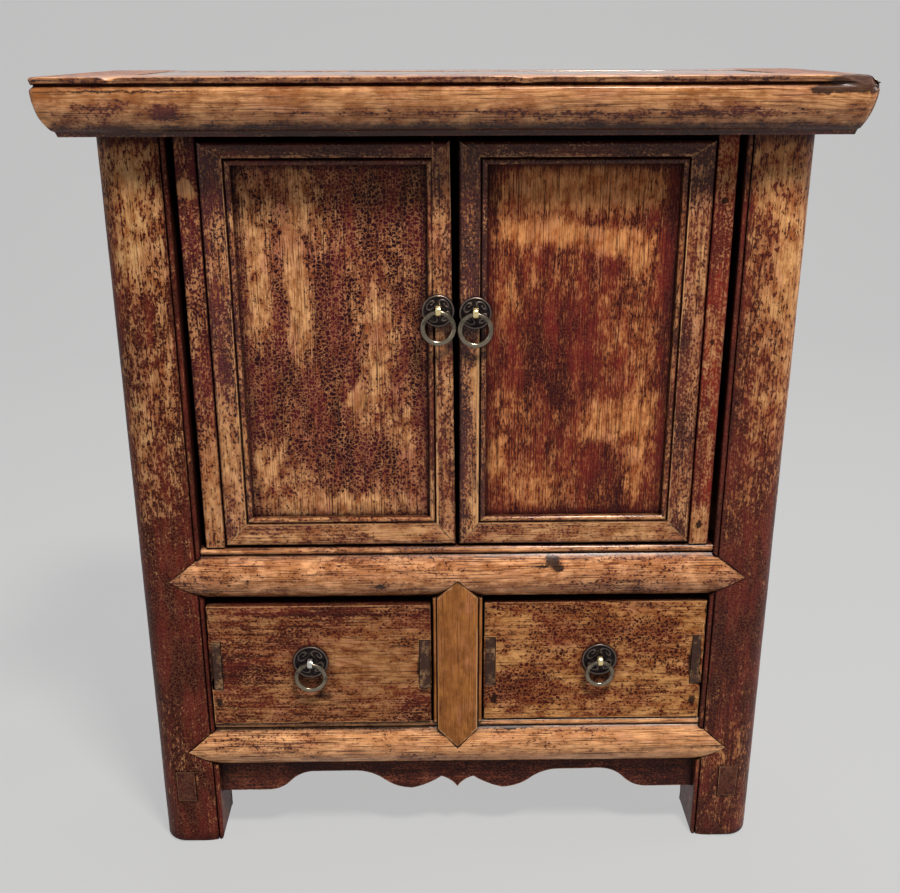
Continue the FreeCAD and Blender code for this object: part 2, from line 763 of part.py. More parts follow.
sill_rail = front_rail("sill_rail", sill_bottom, sill_shoulder, s.sill_top, sill_tip_x, sill_tip_z, [
    (floor_front, s.sill_top), (floor_front, floor_bottom), (rail_back, floor_bottom)])
pocket(sill_rail, "XZ", front_y - s.overrun, lap_back, [
    (-half_face, sill_bottom - s.overrun), (-half_face, sill_bottom), (ZERO, divider_top_z),
    (half_face, sill_bottom), (half_face, sill_bottom - s.overrun)])
pocket(sill_rail, "XY", sill_bottom - s.overrun, sill_bottom + s.divider_tenon_depth, divider_tenon)
pocket(sill_rail, "XY", s.sill_top - s.pivot_foot_length - s.batten_end_gap, s.sill_top + s.overrun,
       Disc(pivot_x, pivot_y, socket_radius), Disc(-pivot_x, pivot_y, socket_radius))
nodes.append(sill_rail)

side_runner_outer = inner_x - s.floor_gap
side_runner = (side_runner_outer - s.side_runner_width, side_runner_outer)
middle_runner = (-(s.middle_runner_width / 2), s.middle_runner_width / 2)


def runner_mortises(body, start, end):
    """Mortises for the stub tenons of the three drawer runners."""
    section = rectangle(side_runner[0], runner_bottom, side_runner[1], s.lower_rail_top + s.overrun)
    middle = rectangle(middle_runner[0], runner_bottom, middle_runner[1], s.lower_rail_top + s.overrun)
    pocket(body, "XZ", start, end, section, mirrored(section), middle)


lower_front_rail = front_rail("lower_front_rail", lower_bottom, lower_shoulder, s.lower_rail_top,
                              lower_tip_x, lower_tip_z, [(rail_back, s.lower_rail_top)])
pocket(lower_front_rail, "XZ", front_y - s.overrun, lap_back, [
    (-half_face, s.lower_rail_top + s.overrun), (-half_face, lower_shoulder), (ZERO, divider_bottom_z),
    (half_face, lower_shoulder), (half_face, s.lower_rail_top + s.overrun)])
pocket(lower_front_rail, "XY", s.lower_rail_top - s.divider_tenon_depth, s.lower_rail_top + s.overrun,
       divider_tenon)
pocket(lower_front_rail, "YZ", -inner_x, inner_x,
       rectangle(apron_front, lower_bottom - s.overrun, apron_back, apron_top))
runner_mortises(lower_front_rail, rail_back - s.runner_tenon, rail_back + s.overrun)
nodes.append(lower_front_rail)

# The divider laps over both rails with a point above and a point below.
drawer_divider = body_named("drawer_divider")
divider_edge_y = front_y + s.divider_edge_fall
divider_bead_y = front_y + s.divider_bead_back
bead_middle_x = half_face + s.divider_bead / 2
pad(drawer_divider, "XY", divider_bottom_z, divider_top_z, [
    (divider_half, front_y + s.divider_thickness),
    (divider_half, divider_bead_y),
    Via(bead_middle_x, divider_bead_y - s.divider_bead / 2),
    (half_face, divider_bead_y),
    (half_face, divider_edge_y),
    Via(ZERO, front_y + s.divider_crown),
    (-half_face, divider_edge_y),
    (-half_face, divider_bead_y),
    Via(-bead_middle_x, divider_bead_y - s.divider_bead / 2),
    (-divider_half, divider_bead_y),
    (-divider_half, front_y + s.divider_thickness)])
divider_clear = divider_half + s.overrun
divider_through = (front_y - s.overrun, front_y + s.divider_thickness + s.overrun)
pocket(drawer_divider, "XZ", *divider_through, [
    (-divider_clear, sill_bottom), (-half_face, sill_bottom), (ZERO, divider_top_z),
    (half_face, sill_bottom), (divider_clear, sill_bottom),
    (divider_clear, divider_top_z + s.overrun), (-divider_clear, divider_top_z + s.overrun)])
pocket(drawer_divider, "XZ", *divider_through, [
    (-divider_clear, s.lower_rail_top), (-half_face, s.lower_rail_top), (-half_face, lower_shoulder),
    (ZERO, divider_bottom_z), (half_face, lower_shoulder), (half_face, s.lower_rail_top),
    (divider_clear, s.lower_rail_top), (divider_clear, divider_bottom_z - s.overrun),
    (-divider_clear, divider_bottom_z - s.overrun)])
pocket(drawer_divider, "XZ", lap_back, divider_through[1],
       rectangle(-divider_clear, sill_bottom, divider_clear, divider_top_z + s.overrun),
       rectangle(-divider_clear, divider_bottom_z - s.overrun, divider_clear, s.lower_rail_top))
pad(drawer_divider, "XY", sill_bottom, sill_bottom + s.divider_tenon_depth, divider_tenon)
pad(drawer_divider, "XY", s.lower_rail_top - s.divider_tenon_depth, s.lower_rail_top, divider_tenon)
nodes.append(drawer_divider)

# Side rails, gently rounded outside. The lower ones are tenoned right through the front legs.


def side_rail(label, bottom, top, tenon, front_reach):
    """The right side rail between the legs, with its tenons."""
    body = body_named(label)
    pad(body, "XZ", front_leg_back, rear_leg_front, [
        (side_outer - s.side_rail_fall, bottom),
        Via(side_outer, (bottom + top) / 2),
        (side_outer - s.side_rail_fall, top),
        (side_inner, top),
        (side_inner, bottom)])
    pad(body, "XZ", front_reach, front_leg_back, tenon)
    pad(body, "XZ", rear_leg_front, rear_leg_front + s.rear_tenon_length, tenon)
    between = (front_leg_back - s.overrun, rear_leg_front + s.overrun)
    pocket(body, "XZ", *between, rectangle(panel_x_in, top - s.panel_groove, panel_x_out, top + s.overrun))
    return body


lower_right_rail = side_rail("lower_right_rail", s.side_lower_bottom, side_lower_top, through_tenon,
                             front_y - s.through_tenon_proud)
middle_right_rail = side_rail("middle_right_rail", middle_bottom, floor_bottom, blind_side_tenon,
                              front_leg_back - s.blind_tenon_length)
pocket(middle_right_rail, "XZ", front_leg_back - s.overrun, rear_leg_front + s.overrun,
       rectangle(panel_x_in, middle_bottom - s.overrun, panel_x_out, middle_bottom + s.panel_groove))
for rail, twin_label in ((lower_right_rail, "lower_left_rail"), (middle_right_rail, "middle_left_rail")):
    nodes.append(rail)
    nodes.append(mirror_of(rail, twin_label))


def rear_rail(label, bottom, top):
    """A rear rail between the rear legs, grooved above for the back panel."""
    body = body_named(label)
    pad(body, "YZ", -inner_x, inner_x, [
        (rear_outer - s.side_rail_fall, bottom),
        Via(rear_outer, (bottom + top) / 2),
        (rear_outer - s.side_rail_fall, top),
        (rear_inner, top),
        (rear_inner, bottom)])
    tenon = rear_rail_tenon_section(bottom, top)
    pad(body, "YZ", inner_x, inner_x + s.rear_tenon_length, tenon)
    pad(body, "YZ", -(inner_x + s.rear_tenon_length), -inner_x, tenon)
    pocket(body, "YZ", -inner_x, inner_x,
           rectangle(panel_y_in, top - s.panel_groove, panel_y_out, top + s.overrun))
    return body


middle_rear_rail = rear_rail("middle_rear_rail", middle_bottom, floor_bottom)
pocket(middle_rear_rail, "YZ", -inner_x, inner_x,
       rectangle(panel_y_in, middle_bottom - s.overrun, panel_y_out, middle_bottom + s.panel_groove))
nodes.append(middle_rear_rail)
lower_rear_rail = rear_rail("lower_rear_rail", lower_bottom, s.lower_rail_top)
runner_mortises(lower_rear_rail, rear_inner - s.overrun, rear_inner + s.runner_tenon)
nodes.append(lower_rear_rail)

# Panels in the grooves of the legs and rails: a lower and an upper board on each side and at the back.
panel_ends = (front_leg_back - s.panel_groove, rear_leg_front + s.panel_groove)
side_levels = ((side_lower_top - s.panel_groove, middle_bottom + s.panel_groove),
               (floor_bottom - s.panel_groove, under_z + s.panel_groove))
side_boards = [box(f"right side board {number}", (panel_x_in, panel_ends[0], low),
                   (panel_x_out, panel_ends[1], high))
               for number, (low, high) in enumerate(side_levels, start=1)]
right_side_panels = group_of("right_side_panels", *side_boards)
nodes.append(right_side_panels)
nodes.append(mirror_of(right_side_panels, "left_side_panels"))

back_half = inner_x + s.panel_groove
back_levels = ((s.lower_rail_top - s.panel_groove, middle_bottom + s.panel_groove),
               (floor_bottom - s.panel_groove, under_z + s.panel_groove))
back_boards = [box(f"back board {number}", (-back_half, panel_y_in, low), (back_half, panel_y_out, high))
               for number, (low, high) in enumerate(back_levels, start=1)]
nodes.append(group_of("back_panels", *back_boards))

# The floor of the cupboard rests on the sill and the middle rails and is notched round the legs. Its
# front edge stands a little above the sill and stops the doors, with room for the turning battens.
floor_side = panel_x_in - s.floor_gap
floor_neck = inner_x - s.floor_gap
floor_back = panel_y_in - s.floor_gap
leg_gap_front = front_leg_back + s.floor_gap
leg_gap_rear = rear_leg_front - s.floor_gap
stop_half = batten_inner - s.batten_sweep_gap
notch_y = floor_front + s.floor_notch_depth
right_floor = [(stop_half, floor_front), (stop_half, notch_y), (floor_neck, notch_y),
               (floor_neck, leg_gap_front), (floor_side, leg_gap_front), (floor_side, leg_gap_rear),
               (floor_neck, leg_gap_rear), (floor_neck, floor_back)]
cabinet_floor = body_named("cabinet_floor")
pad(cabinet_floor, "XY", floor_bottom, floor_top, right_floor + mirrored(right_floor)[::-1])
nodes.append(cabinet_floor)

# Runners that carry the drawers, with stub tenons in the lower rails, and the guide between the drawers.
runner_low = rail_back - s.runner_tenon
runner_high = rear_inner + s.runner_tenon
right_runner = box("right runner", (side_runner[0], runner_low, runner_bottom),
                   (side_runner[1], runner_high, s.lower_rail_top))
middle_board = box("middle runner", (middle_runner[0], runner_low, runner_bottom),
                   (middle_runner[1], runner_high, s.lower_rail_top))
nodes.append(group_of("drawer_runners", right_runner, middle_board,
                      mirror_of(right_runner, "left runner")))
guide_front = front_y + s.divider_thickness
guide_half = drawer_inner + s.drawer_side_inset - s.drawer_running_gap
nodes.append(box("centre_guide", (-guide_half, guide_front, s.lower_rail_top),
                 (guide_half, rear_inner, s.lower_rail_top + s.guide_height)))

# The apron's lower edge, as shares of the half length between the legs: a straight foot, an ogee up to
# a long arch, an ogee down to a lobe, a cusp and a small point in the middle.
apron_half = inner_x + s.panel_groove
foot_end_share = 0.80
arch_start_share = 0.61
arch_end_share = 0.43
lobe_middle_share = 0.19
cusp_share = 0.067
shoulder_share = 0.030
curve_bend_share = 0.13


def ogee(start_x, start_z, end_x, end_z):
    """Two arcs that leave start and reach end level, as the corners after start."""
    middle_x = (start_x + end_x) / 2
    middle_z = (start_z + end_z) / 2
    bend = (end_z - start_z) * curve_bend_share
    return [Via((start_x + middle_x) / 2, (start_z + middle_z) / 2 - bend),
            (middle_x, middle_z),
            Via((middle_x + end_x) / 2, (middle_z + end_z) / 2 + bend),
            (end_x, end_z)]


foot_z = s.apron_foot_height
arch_z = s.apron_arch_height
lobe_z = s.apron_lobe_height
cusp_z = s.apron_cusp_height
right_apron = [
    (apron_half, apron_top),
    (apron_half, foot_z),
    (inner_x * foot_end_share, foot_z),
    *ogee(inner_x * foot_end_share, foot_z, inner_x * arch_start_share, arch_z),
    (inner_x * arch_end_share, arch_z),
    *ogee(inner_x * arch_end_share, arch_z, inner_x * lobe_middle_share, lobe_z),
    Via((inner_x * lobe_middle_share + inner_x * cusp_share) / 2,
        (lobe_z + cusp_z) / 2 - (cusp_z - lobe_z) * curve_bend_share),
    (inner_x * cusp_share, cusp_z),
    Via(inner_x * shoulder_share, (cusp_z + s.apron_point_height) / 2 + (cusp_z - lobe_z) * curve_bend_share),
]
front_apron = body_named("front_apron")
pad(front_apron, "XZ", apron_front, apron_back,
    right_apron + [(ZERO, s.apron_point_height)] + mirrored(right_apron)[::-1])
nodes.append(front_apron)

# Round pulls: a plate with a raised rim, a split staple whose eye holds the ring, and the ring. Each is
# made with its own Z axis pointing out of the wood, and turned to face the front.


def face_front(piece, x, y, z):
    """Turns a piece to face -Y and puts it at a place."""
    piece.Placement = FreeCAD.Placement(
        FreeCAD.Vector(x.number, y.number, z.number),
        FreeCAD.Rotation(FreeCAD.Vector(1, 0, 0), 90))
    for name, place_size in (("x", x), ("y", y), ("z", z)):
        piece.setExpression(f"Placement.Base.{name}", place_size.text)


def shank_outline(x, z):
    """The slot that a staple's two strips pass through."""
    half = s.staple_width / 2
    return rectangle(x - half, z + s.eye_rise - s.staple_strip / 2,
                     x + half, z + s.eye_rise + s.staple_strip / 2)


def pull(prefix, x, face_y, z, wood, plate_radius, ring_radius, wire):
    """The three pieces of one pull, whose plate lies on the face at (x, z)."""
    plate = body_named(f"{prefix}_pull_plate")
    turning = plate.newObject("PartDesign::Revolution", "Turning")
    rim_inner = plate_radius - s.plate_rim_width
    rim_crown = plate_radius - s.plate_rim_width / 2
    turning.Profile = sketch_on(plate, "XZ", ZERO, [[
        (ZERO, ZERO),
        (plate_radius, ZERO),
        (plate_radius, s.plate_thickness),
        Via(rim_crown, s.plate_rim_height),
        (rim_inner, s.plate_thickness),
        (s.plate_dome_radius, s.plate_thickness),
        (ZERO, s.plate_thickness + s.plate_dome_height)]])
    turning.ReferenceAxis = (turning.Profile[0], ["V_Axis"])
    turning.Angle = 360
    pocket(plate, "XY", -s.overrun, s.plate_rim_height + s.overrun, shank_outline(ZERO, ZERO))
    face_front(plate, x, face_y, z)

    staple = body_named(f"{prefix}_pull_staple")
    half = s.staple_width / 2
    eye_out = s.plate_thickness + s.eye_standoff
    pad(staple, "YZ", -half, half,
        Disc(s.eye_rise, eye_out, s.eye_radius), Disc(s.eye_rise, eye_out, s.eye_hole_radius))
    wall = (s.eye_radius - s.eye_hole_radius) / 2
    pad(staple, "XY", -wood, eye_out - s.eye_hole_radius - wall, shank_outline(ZERO, ZERO))
    pad(staple, "XY", -(wood + s.clinch_thickness), -wood,
        rectangle(-half, s.eye_rise - s.clinch_length / 2, half, s.eye_rise + s.clinch_length / 2))
    face_front(staple, x, face_y, z)

    ring = document.addObject("Part::Torus", "Ring")
    ring.Label = f"{prefix}_pull_ring"
    for name, radius in (("Radius1", ring_radius), ("Radius2", wire)):
        setattr(ring, name, radius.number)
        ring.setExpression(name, radius.text)
    face_front(ring, x, face_y - eye_out, z + s.eye_rise - s.ring_hang - ring_radius)
    return [plate, staple, ring]


# Doors: a mitred frame with a bead round its inside, a floating panel, and a batten that turns on
# wooden pivots in the top and the sill.


def frame_section(width, along, across):
    """The section of a door frame's member, width from its outer edge to its bead."""
    rounding = s.door_edge_round
    middle = rounding * QUARTER_SHARE
    flat_end = width - s.door_moulding
    bead_start = flat_end + s.door_quirk_width
    return [
        (along(ZERO), across(s.door_thickness)),
        (along(ZERO), across(rounding)),
        Via(along(middle), across(middle)),
        (along(rounding), across(ZERO)),
        (along(flat_end), across(ZERO)),
        (along(bead_start), across(s.door_quirk_depth)),
        Via(along((bead_start + width) / 2), across(ZERO)),
        (along(width), across(s.door_quirk_depth)),
        (along(width), across(s.door_thickness))]


def swapped(outline):
    """The same outline with its two directions exchanged."""
    return [Via(p.b, p.a) if isinstance(p, Via) else (p[1], p[0]) for p in outline]


def door(side, label, taper, pull_x, pull_z):
    """One door's pieces. side is 1 for the right door, and taper is planed off its meeting stile's top."""
    hinge_x = side * batten_inner
    edge_x = side * meeting_x
    edge_top_x = side * (meeting_x + taper)
    outer_in = side * (batten_inner - s.outer_stile_width)
    meeting_in = side * (meeting_x + s.meeting_stile_width)
    bottom_in = door_bottom + s.door_bottom_rail_height
    top_in = door_top - s.door_top_rail_height
    panel_front = door_face + s.door_panel_setback
    panel_back = panel_front + s.door_panel_thickness
    through = (door_face - s.overrun, door_back + s.overrun)

    def face(depth):
        return door_face + depth

    def mitres(out_x, out_z, in_x, in_z, x_way, z_way):
        """What a corner's mitre takes off the stile and off the rail."""
        line = [(out_x, out_z), (in_x + x_way * s.door_moulding, in_z + z_way * s.door_moulding),
                (in_x, in_z)]
        beyond_x = out_x + x_way * s.overrun
        beyond_z = out_z + z_way * s.overrun
        within_x = in_x - x_way * s.overrun
        within_z = in_z - z_way * s.overrun
        off_stile = line + [(within_x, in_z), (within_x, beyond_z), (out_x, beyond_z)]
        off_rail = line + [(in_x, within_z), (beyond_x, within_z), (beyond_x, out_z)]
        return off_stile, off_rail

    corners = {
        ("outer", "bottom"): mitres(hinge_x, door_bottom, outer_in, bottom_in, side, -1),
        ("outer", "top"): mitres(hinge_x, door_top, outer_in, top_in, side, 1),
        ("meeting", "bottom"): mitres(edge_x, door_bottom, meeting_in, bottom_in, -side, -1),
        ("meeting", "top"): mitres(edge_top_x, door_top, meeting_in, top_in, -side, 1),
    }

    def stile(name, outer_x, inner_edge, width, x_way):
        """An upright of the frame. x_way points from its bead to its outer edge."""
        body = body_named(f"{label}_{name}_stile")
        pad(body, "XY", door_bottom, door_top,
            frame_section(width, lambda w: outer_x - x_way * w, face))
        for level in ("bottom", "top"):
            pocket(body, "XZ", *through, corners[(name, level)][0])
        groove_in = inner_edge + x_way * s.door_panel_groove
        groove_out = inner_edge - x_way * s.overrun
        pocket(body, "XY", door_bottom - s.overrun, door_top + s.overrun,
               rectangle(groove_in, panel_front, groove_out, panel_back))
        return body

    def rail(name, outer_z, inner_edge, height, z_way, ends):
        """A cross member of the frame. z_way points from its bead to its outer edge."""
        body = body_named(f"{label}_{name}_rail")
        section = swapped(frame_section(height, lambda w: outer_z - z_way * w, face))
        low, high = sorted(ends, key=lambda size: size.number)
        pad(body, "YZ", low, high, section)
        for member in ("outer", "meeting"):
            pocket(body, "XZ", *through, corners[(member, name)][1])
        groove_in = inner_edge + z_way * s.door_panel_groove
        groove_out = inner_edge - z_way * s.overrun
        pocket(body, "YZ", low - s.overrun, high + s.overrun,
               rectangle(panel_front, groove_in, panel_back, groove_out))
        return body

    outer_stile = stile("outer", hinge_x, outer_in, s.outer_stile_width, side)
    meeting_stile = stile("meeting", edge_x, meeting_in, s.meeting_stile_width, -side)
    if taper.number > 0:
        pocket(meeting_stile, "XZ", *through, [
            (edge_x, door_bottom), (edge_top_x, door_top), (edge_top_x, door_top + s.overrun),
            (edge_x - side * s.overrun, door_top + s.overrun), (edge_x - side * s.overrun, door_bottom)])
    pocket(meeting_stile, "XZ", *through, shank_outline(pull_x, pull_z))
    bottom_rail = rail("bottom", door_bottom, bottom_in, s.door_bottom_rail_height, -1, (hinge_x, edge_x))
    top_rail = rail("top", door_top, top_in, s.door_top_rail_height, 1, (hinge_x, edge_top_x))

    hidden = s.door_panel_groove - s.door_panel_play
    low_x, high_x = sorted((outer_in + side * hidden, meeting_in - side * hidden), key=lambda v: v.number)
    panel = box(f"{label}_panel", (low_x, panel_front, bottom_in - hidden),
                (high_x, panel_back, top_in + hidden))

    batten = body_named(f"{label}_pivot_batten")
    easing = s.batten_round * QUARTER_SHARE
    out_x = side * batten_outer
    foot = s.sill_top + s.batten_end_gap
    head = under_z - s.batten_end_gap
    pad(batten, "XY", foot, head, [
        (hinge_x, door_back),
        (hinge_x, door_face + s.batten_round),
        Via(hinge_x + side * easing, door_face + easing),
        (hinge_x + side * s.batten_round, door_face),
        (out_x - side * s.batten_round, door_face),
        Via(out_x - side * easing, door_face + easing),
        (out_x, door_face + s.batten_round),
        (out_x, door_back)])
    axis = side * pivot_x
    pad(batten, "XY", head, under_z + s.pivot_top_length - s.batten_end_gap,
        Disc(axis, pivot_y, s.pivot_radius))
    pad(batten, "XY", s.sill_top - s.pivot_foot_length, foot, Disc(axis, pivot_y, s.pivot_radius))
    fittings = pull(label, pull_x, door_face, pull_z, s.door_thickness, s.door_plate_radius,
                    s.door_ring_radius, s.door_ring_wire)
    return [outer_stile, meeting_stile, top_rail, bottom_rail, panel, batten, *fittings]


door_middle = (door_bottom + door_top) / 2
nodes += door(-1, "left_door", s.left_door_taper, -s.left_door_pull_side,
              door_middle + s.left_door_pull_rise)
nodes += door(1, "right_door", ZERO, s.right_door_pull_side, door_middle + s.right_door_pull_rise)

# Drawers: a plain front with the sides tenoned right through it, a back and a bottom in grooves.


def drawer(side, label, proud, pull_x, pull_rise, ring_radius):
    """One drawer's pieces. proud is how far its front stands out when it is shut."""
    near_x = side * drawer_inner
    far_x = side * drawer_outer
    low_x, high_x = sorted((near_x, far_x), key=lambda size: size.number)
    face_y = door_face - proud
    front_back = face_y + s.drawer_front_thickness
    end_y = panel_y_in - s.drawer_back_gap
    side_low_x = low_x + s.drawer_side_inset
    side_high_x = side_low_x + s.drawer_side_thickness
    side_bottom = s.lower_rail_top + s.drawer_running_gap
    board_low = side_bottom + s.drawer_bottom_rise
    board_high = board_low + s.drawer_bottom_thickness
    middle_x = side * drawer_middle
    middle_z = (drawer_bottom_z + drawer_top_z) / 2
    pull_z = middle_z + pull_rise
    tenon_low = middle_z - s.drawer_tenon_height / 2
    tenon_high = middle_z + s.drawer_tenon_height / 2
    tenon = rectangle(side_low_x, tenon_low, side_high_x, tenon_high)
    far_tenon = rectangle(high_x - s.drawer_side_inset - s.drawer_side_thickness, tenon_low,
                          high_x - s.drawer_side_inset, tenon_high)

    front = body_named(f"{label}_front")
    pad(front, "XZ", face_y, front_back, rectangle(low_x, drawer_bottom_z, high_x, drawer_top_z))
    pocket(front, "XZ", face_y - s.overrun, front_back + s.overrun, tenon, far_tenon)
    pocket(front, "XZ", face_y - s.overrun, front_back + s.overrun, shank_outline(pull_x, pull_z))
    board_ends = (side_high_x - s.drawer_bottom_groove,
                  high_x - s.drawer_side_inset - s.drawer_side_thickness + s.drawer_bottom_groove)
    pocket(front, "XZ", front_back - s.drawer_bottom_groove, front_back + s.overrun,
           rectangle(board_ends[0], board_low, board_ends[1], board_high))

    first_side = body_named(f"{label} first side")
    pad(first_side, "XZ", front_back, end_y,
        rectangle(side_low_x, side_bottom, side_high_x, side_bottom + s.drawer_side_height))
    pad(first_side, "XZ", face_y, front_back, tenon)
    pocket(first_side, "XZ", front_back, end_y,
           rectangle(board_ends[0], board_low, side_high_x + s.overrun, board_high))
    sides = group_of(f"{label}_sides", first_side, mirror_of(first_side, f"{label} second side", middle_x))

    inside_low = side_high_x
    inside_high = high_x - s.drawer_side_inset - s.drawer_side_thickness
    back = box(f"{label}_back", (inside_low, end_y - s.drawer_back_thickness, board_high),
               (inside_high, end_y, board_high + s.drawer_back_height))
    bottom = box(f"{label}_bottom", (board_ends[0], front_back - s.drawer_bottom_groove, board_low),
                 (board_ends[1], end_y, board_high))
    fittings = pull(label, pull_x, face_y, pull_z, s.drawer_front_thickness, s.drawer_plate_radius,
                    ring_radius, s.drawer_ring_wire)
    return [front, sides, back, bottom, *fittings]


nodes += drawer(-1, "left_drawer", s.left_drawer_proud, -(drawer_middle + s.left_drawer_pull_shift),
                s.left_drawer_pull_rise, s.left_drawer_ring_radius)
nodes += drawer(1, "right_drawer", ZERO, drawer_middle + s.right_drawer_pull_shift,
                s.right_drawer_pull_rise, s.right_drawer_ring_radius)

document.recompute()

for item in document.Objects:
    if "Invalid" in item.State or "Error" in item.State:
        raise ValueError(f"{item.Name} ({item.Label}) failed: {item.State}")
for feature in pockets:
    if feature.BaseFeature.Shape.Volume <= feature.Shape.Volume:
        raise ValueError(f"{feature.Name} in {feature.getParentGeoFeatureGroup().Label} cuts nothing")
labels = [node.Label for node in nodes]
if len(set(labels)) != len(labels):
    raise ValueError("two sub-parts share a name")
for node in nodes:
    if node.Shape.isNull() or not node.Shape.isValid():
        raise ValueError(f"{node.Label} has no valid shape")

os.makedirs("parts", exist_ok=True)
for node in nodes:
    node.Shape.exportStep(os.path.join("parts", f"{node.Label}.step"))
    print(f"{node.Label}: {len(node.Shape.Solids)} solids, {node.Shape.Volume / 1000:.1f} cm3")
print(len(nodes), "nodes")
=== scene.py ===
import math

import bmesh
import bpy
from mathutils import Matrix, Vector, noise


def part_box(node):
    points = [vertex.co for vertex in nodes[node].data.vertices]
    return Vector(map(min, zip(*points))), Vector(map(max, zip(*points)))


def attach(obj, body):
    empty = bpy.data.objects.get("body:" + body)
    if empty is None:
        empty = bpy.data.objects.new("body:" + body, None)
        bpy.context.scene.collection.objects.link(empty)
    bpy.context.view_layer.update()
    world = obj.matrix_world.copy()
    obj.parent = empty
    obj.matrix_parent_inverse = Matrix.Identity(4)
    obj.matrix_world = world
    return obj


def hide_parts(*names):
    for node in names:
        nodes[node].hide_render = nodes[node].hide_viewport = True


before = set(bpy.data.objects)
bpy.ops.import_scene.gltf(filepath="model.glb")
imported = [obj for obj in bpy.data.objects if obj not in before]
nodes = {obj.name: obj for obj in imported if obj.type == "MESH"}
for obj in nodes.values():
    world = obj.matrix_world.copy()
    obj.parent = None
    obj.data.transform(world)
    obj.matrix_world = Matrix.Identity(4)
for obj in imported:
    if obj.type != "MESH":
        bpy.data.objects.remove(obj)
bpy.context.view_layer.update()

# The place where the cabinet stands: a pale grey sheet that lies under it and curves up behind it, a soft
# lamp above the front, weaker ones at the sides and behind, and the camera at chest height, tilted down.
CAMERA_PLACE = Vector((-0.0222, -1.218, 0.8972))
CAMERA_TILT = math.radians(19.74)
CAMERA_TURN = math.radians(0.74)
CAMERA_ROLL = math.radians(-0.16)
CAMERA_LENS = 44.76
SHEET_GREY = (0.44, 0.44, 0.44, 1)
SEEN_GREY = (0.595, 0.595, 0.595, 1)
SEEN_SHARE = 0.80
FAR_GREY = (0.50, 0.50, 0.50, 1)
AIR_STRENGTH = 0.11
SHEET_HALF_WIDTH = 11.0
SHEET_FRONT = -9.0
SHEET_BEND = 2.2
SHEET_BEND_RADIUS = 1.6
SHEET_BEND_STEPS = 16
SHEET_TOP = 4.5

ahead = Vector((math.sin(CAMERA_TURN) * math.cos(CAMERA_TILT),
                math.cos(CAMERA_TURN) * math.cos(CAMERA_TILT), -math.sin(CAMERA_TILT)))
across = Vector((math.cos(CAMERA_TURN), -math.sin(CAMERA_TURN), 0))
above = across.cross(ahead)
across, above = (across * math.cos(CAMERA_ROLL) + above * math.sin(CAMERA_ROLL),
                 above * math.cos(CAMERA_ROLL) - across * math.sin(CAMERA_ROLL))
camera = bpy.data.objects.new("camera", bpy.data.cameras.new("camera"))
camera.data.sensor_width = 36
camera.data.lens = CAMERA_LENS
camera.matrix_world = Matrix((
    (across.x, above.x, -ahead.x, CAMERA_PLACE.x),
    (across.y, above.y, -ahead.y, CAMERA_PLACE.y),
    (across.z, above.z, -ahead.z, CAMERA_PLACE.z),
    (0, 0, 0, 1)))
bpy.context.scene.collection.objects.link(camera)
bpy.context.scene.camera = camera
bpy.context.scene.view_settings.view_transform = "Standard"


def lamp(name, place, target, width, height, power, colour):
    """A soft rectangular lamp that faces a target."""
    light = bpy.data.lights.new(name, "AREA")
    light.shape = "RECTANGLE"
    light.size = width
    light.size_y = height
    light.energy = power
    light.color = colour
    body = bpy.data.objects.new(name, light)
    body.location = place
    body.rotation_euler = (Vector(target) - Vector(place)).to_track_quat("-Z", "Y").to_euler()
    bpy.context.scene.collection.objects.link(body)


lamp("front_lamp", (0.60, -1.45, 3.40), (0, -0.1, 0.45), 0.5, 0.5, 174, (1, 0.965, 0.92))
lamp("left_lamp", (-2.6, -1.3, 1.3), (0, -0.1, 0.4), 1.4, 1.6, 9, (0.95, 0.97, 1))
lamp("right_lamp", (2.5, 0.15, 1.8), (0, -0.1, 0.5), 0.9, 1.6, 22, (1, 1, 1))
lamp("back_lamp", (0, 1.9, 2.8), (0, 0, 0.6), 2.0, 0.8, 34, (1, 1, 1))


def seen_share(tree, most):
    """The share of a backdrop's plain grey: only rays that are looked along, or mirrored, meet it."""
    rays = tree.nodes.new("ShaderNodeLightPath")
    total = rays.outputs["Is Camera Ray"]
    for kind in ("Is Glossy Ray", "Is Transmission Ray"):
        both = tree.nodes.new("ShaderNodeMath")
        both.operation = "ADD"
        tree.links.new(total, both.inputs[0])
        tree.links.new(rays.outputs[kind], both.inputs[1])
        total = both.outputs[0]
    share = tree.nodes.new("ShaderNodeMath")
    share.operation = "MULTIPLY"
    share.inputs[1].default_value = most
    tree.links.new(total, share.inputs[0])
    return share.outputs[0]


world = bpy.data.worlds.new("room_air")
world.use_nodes = True
air = world.node_tree
light_air = air.nodes["Background"]
light_air.inputs["Color"].default_value = (0.9, 0.95, 1, 1)
light_air.inputs["Strength"].default_value = AIR_STRENGTH
seen_air = air.nodes.new("ShaderNodeBackground")
seen_air.inputs["Color"].default_value = FAR_GREY
both_airs = air.nodes.new("ShaderNodeMixShader")
air.links.new(seen_share(air, 1.0), both_airs.inputs["Fac"])
air.links.new(light_air.outputs["Background"], both_airs.inputs[1])
air.links.new(seen_air.outputs["Background"], both_airs.inputs[2])
air.links.new(both_airs.outputs["Shader"], air.nodes["World Output"].inputs["Surface"])
bpy.context.scene.world = world

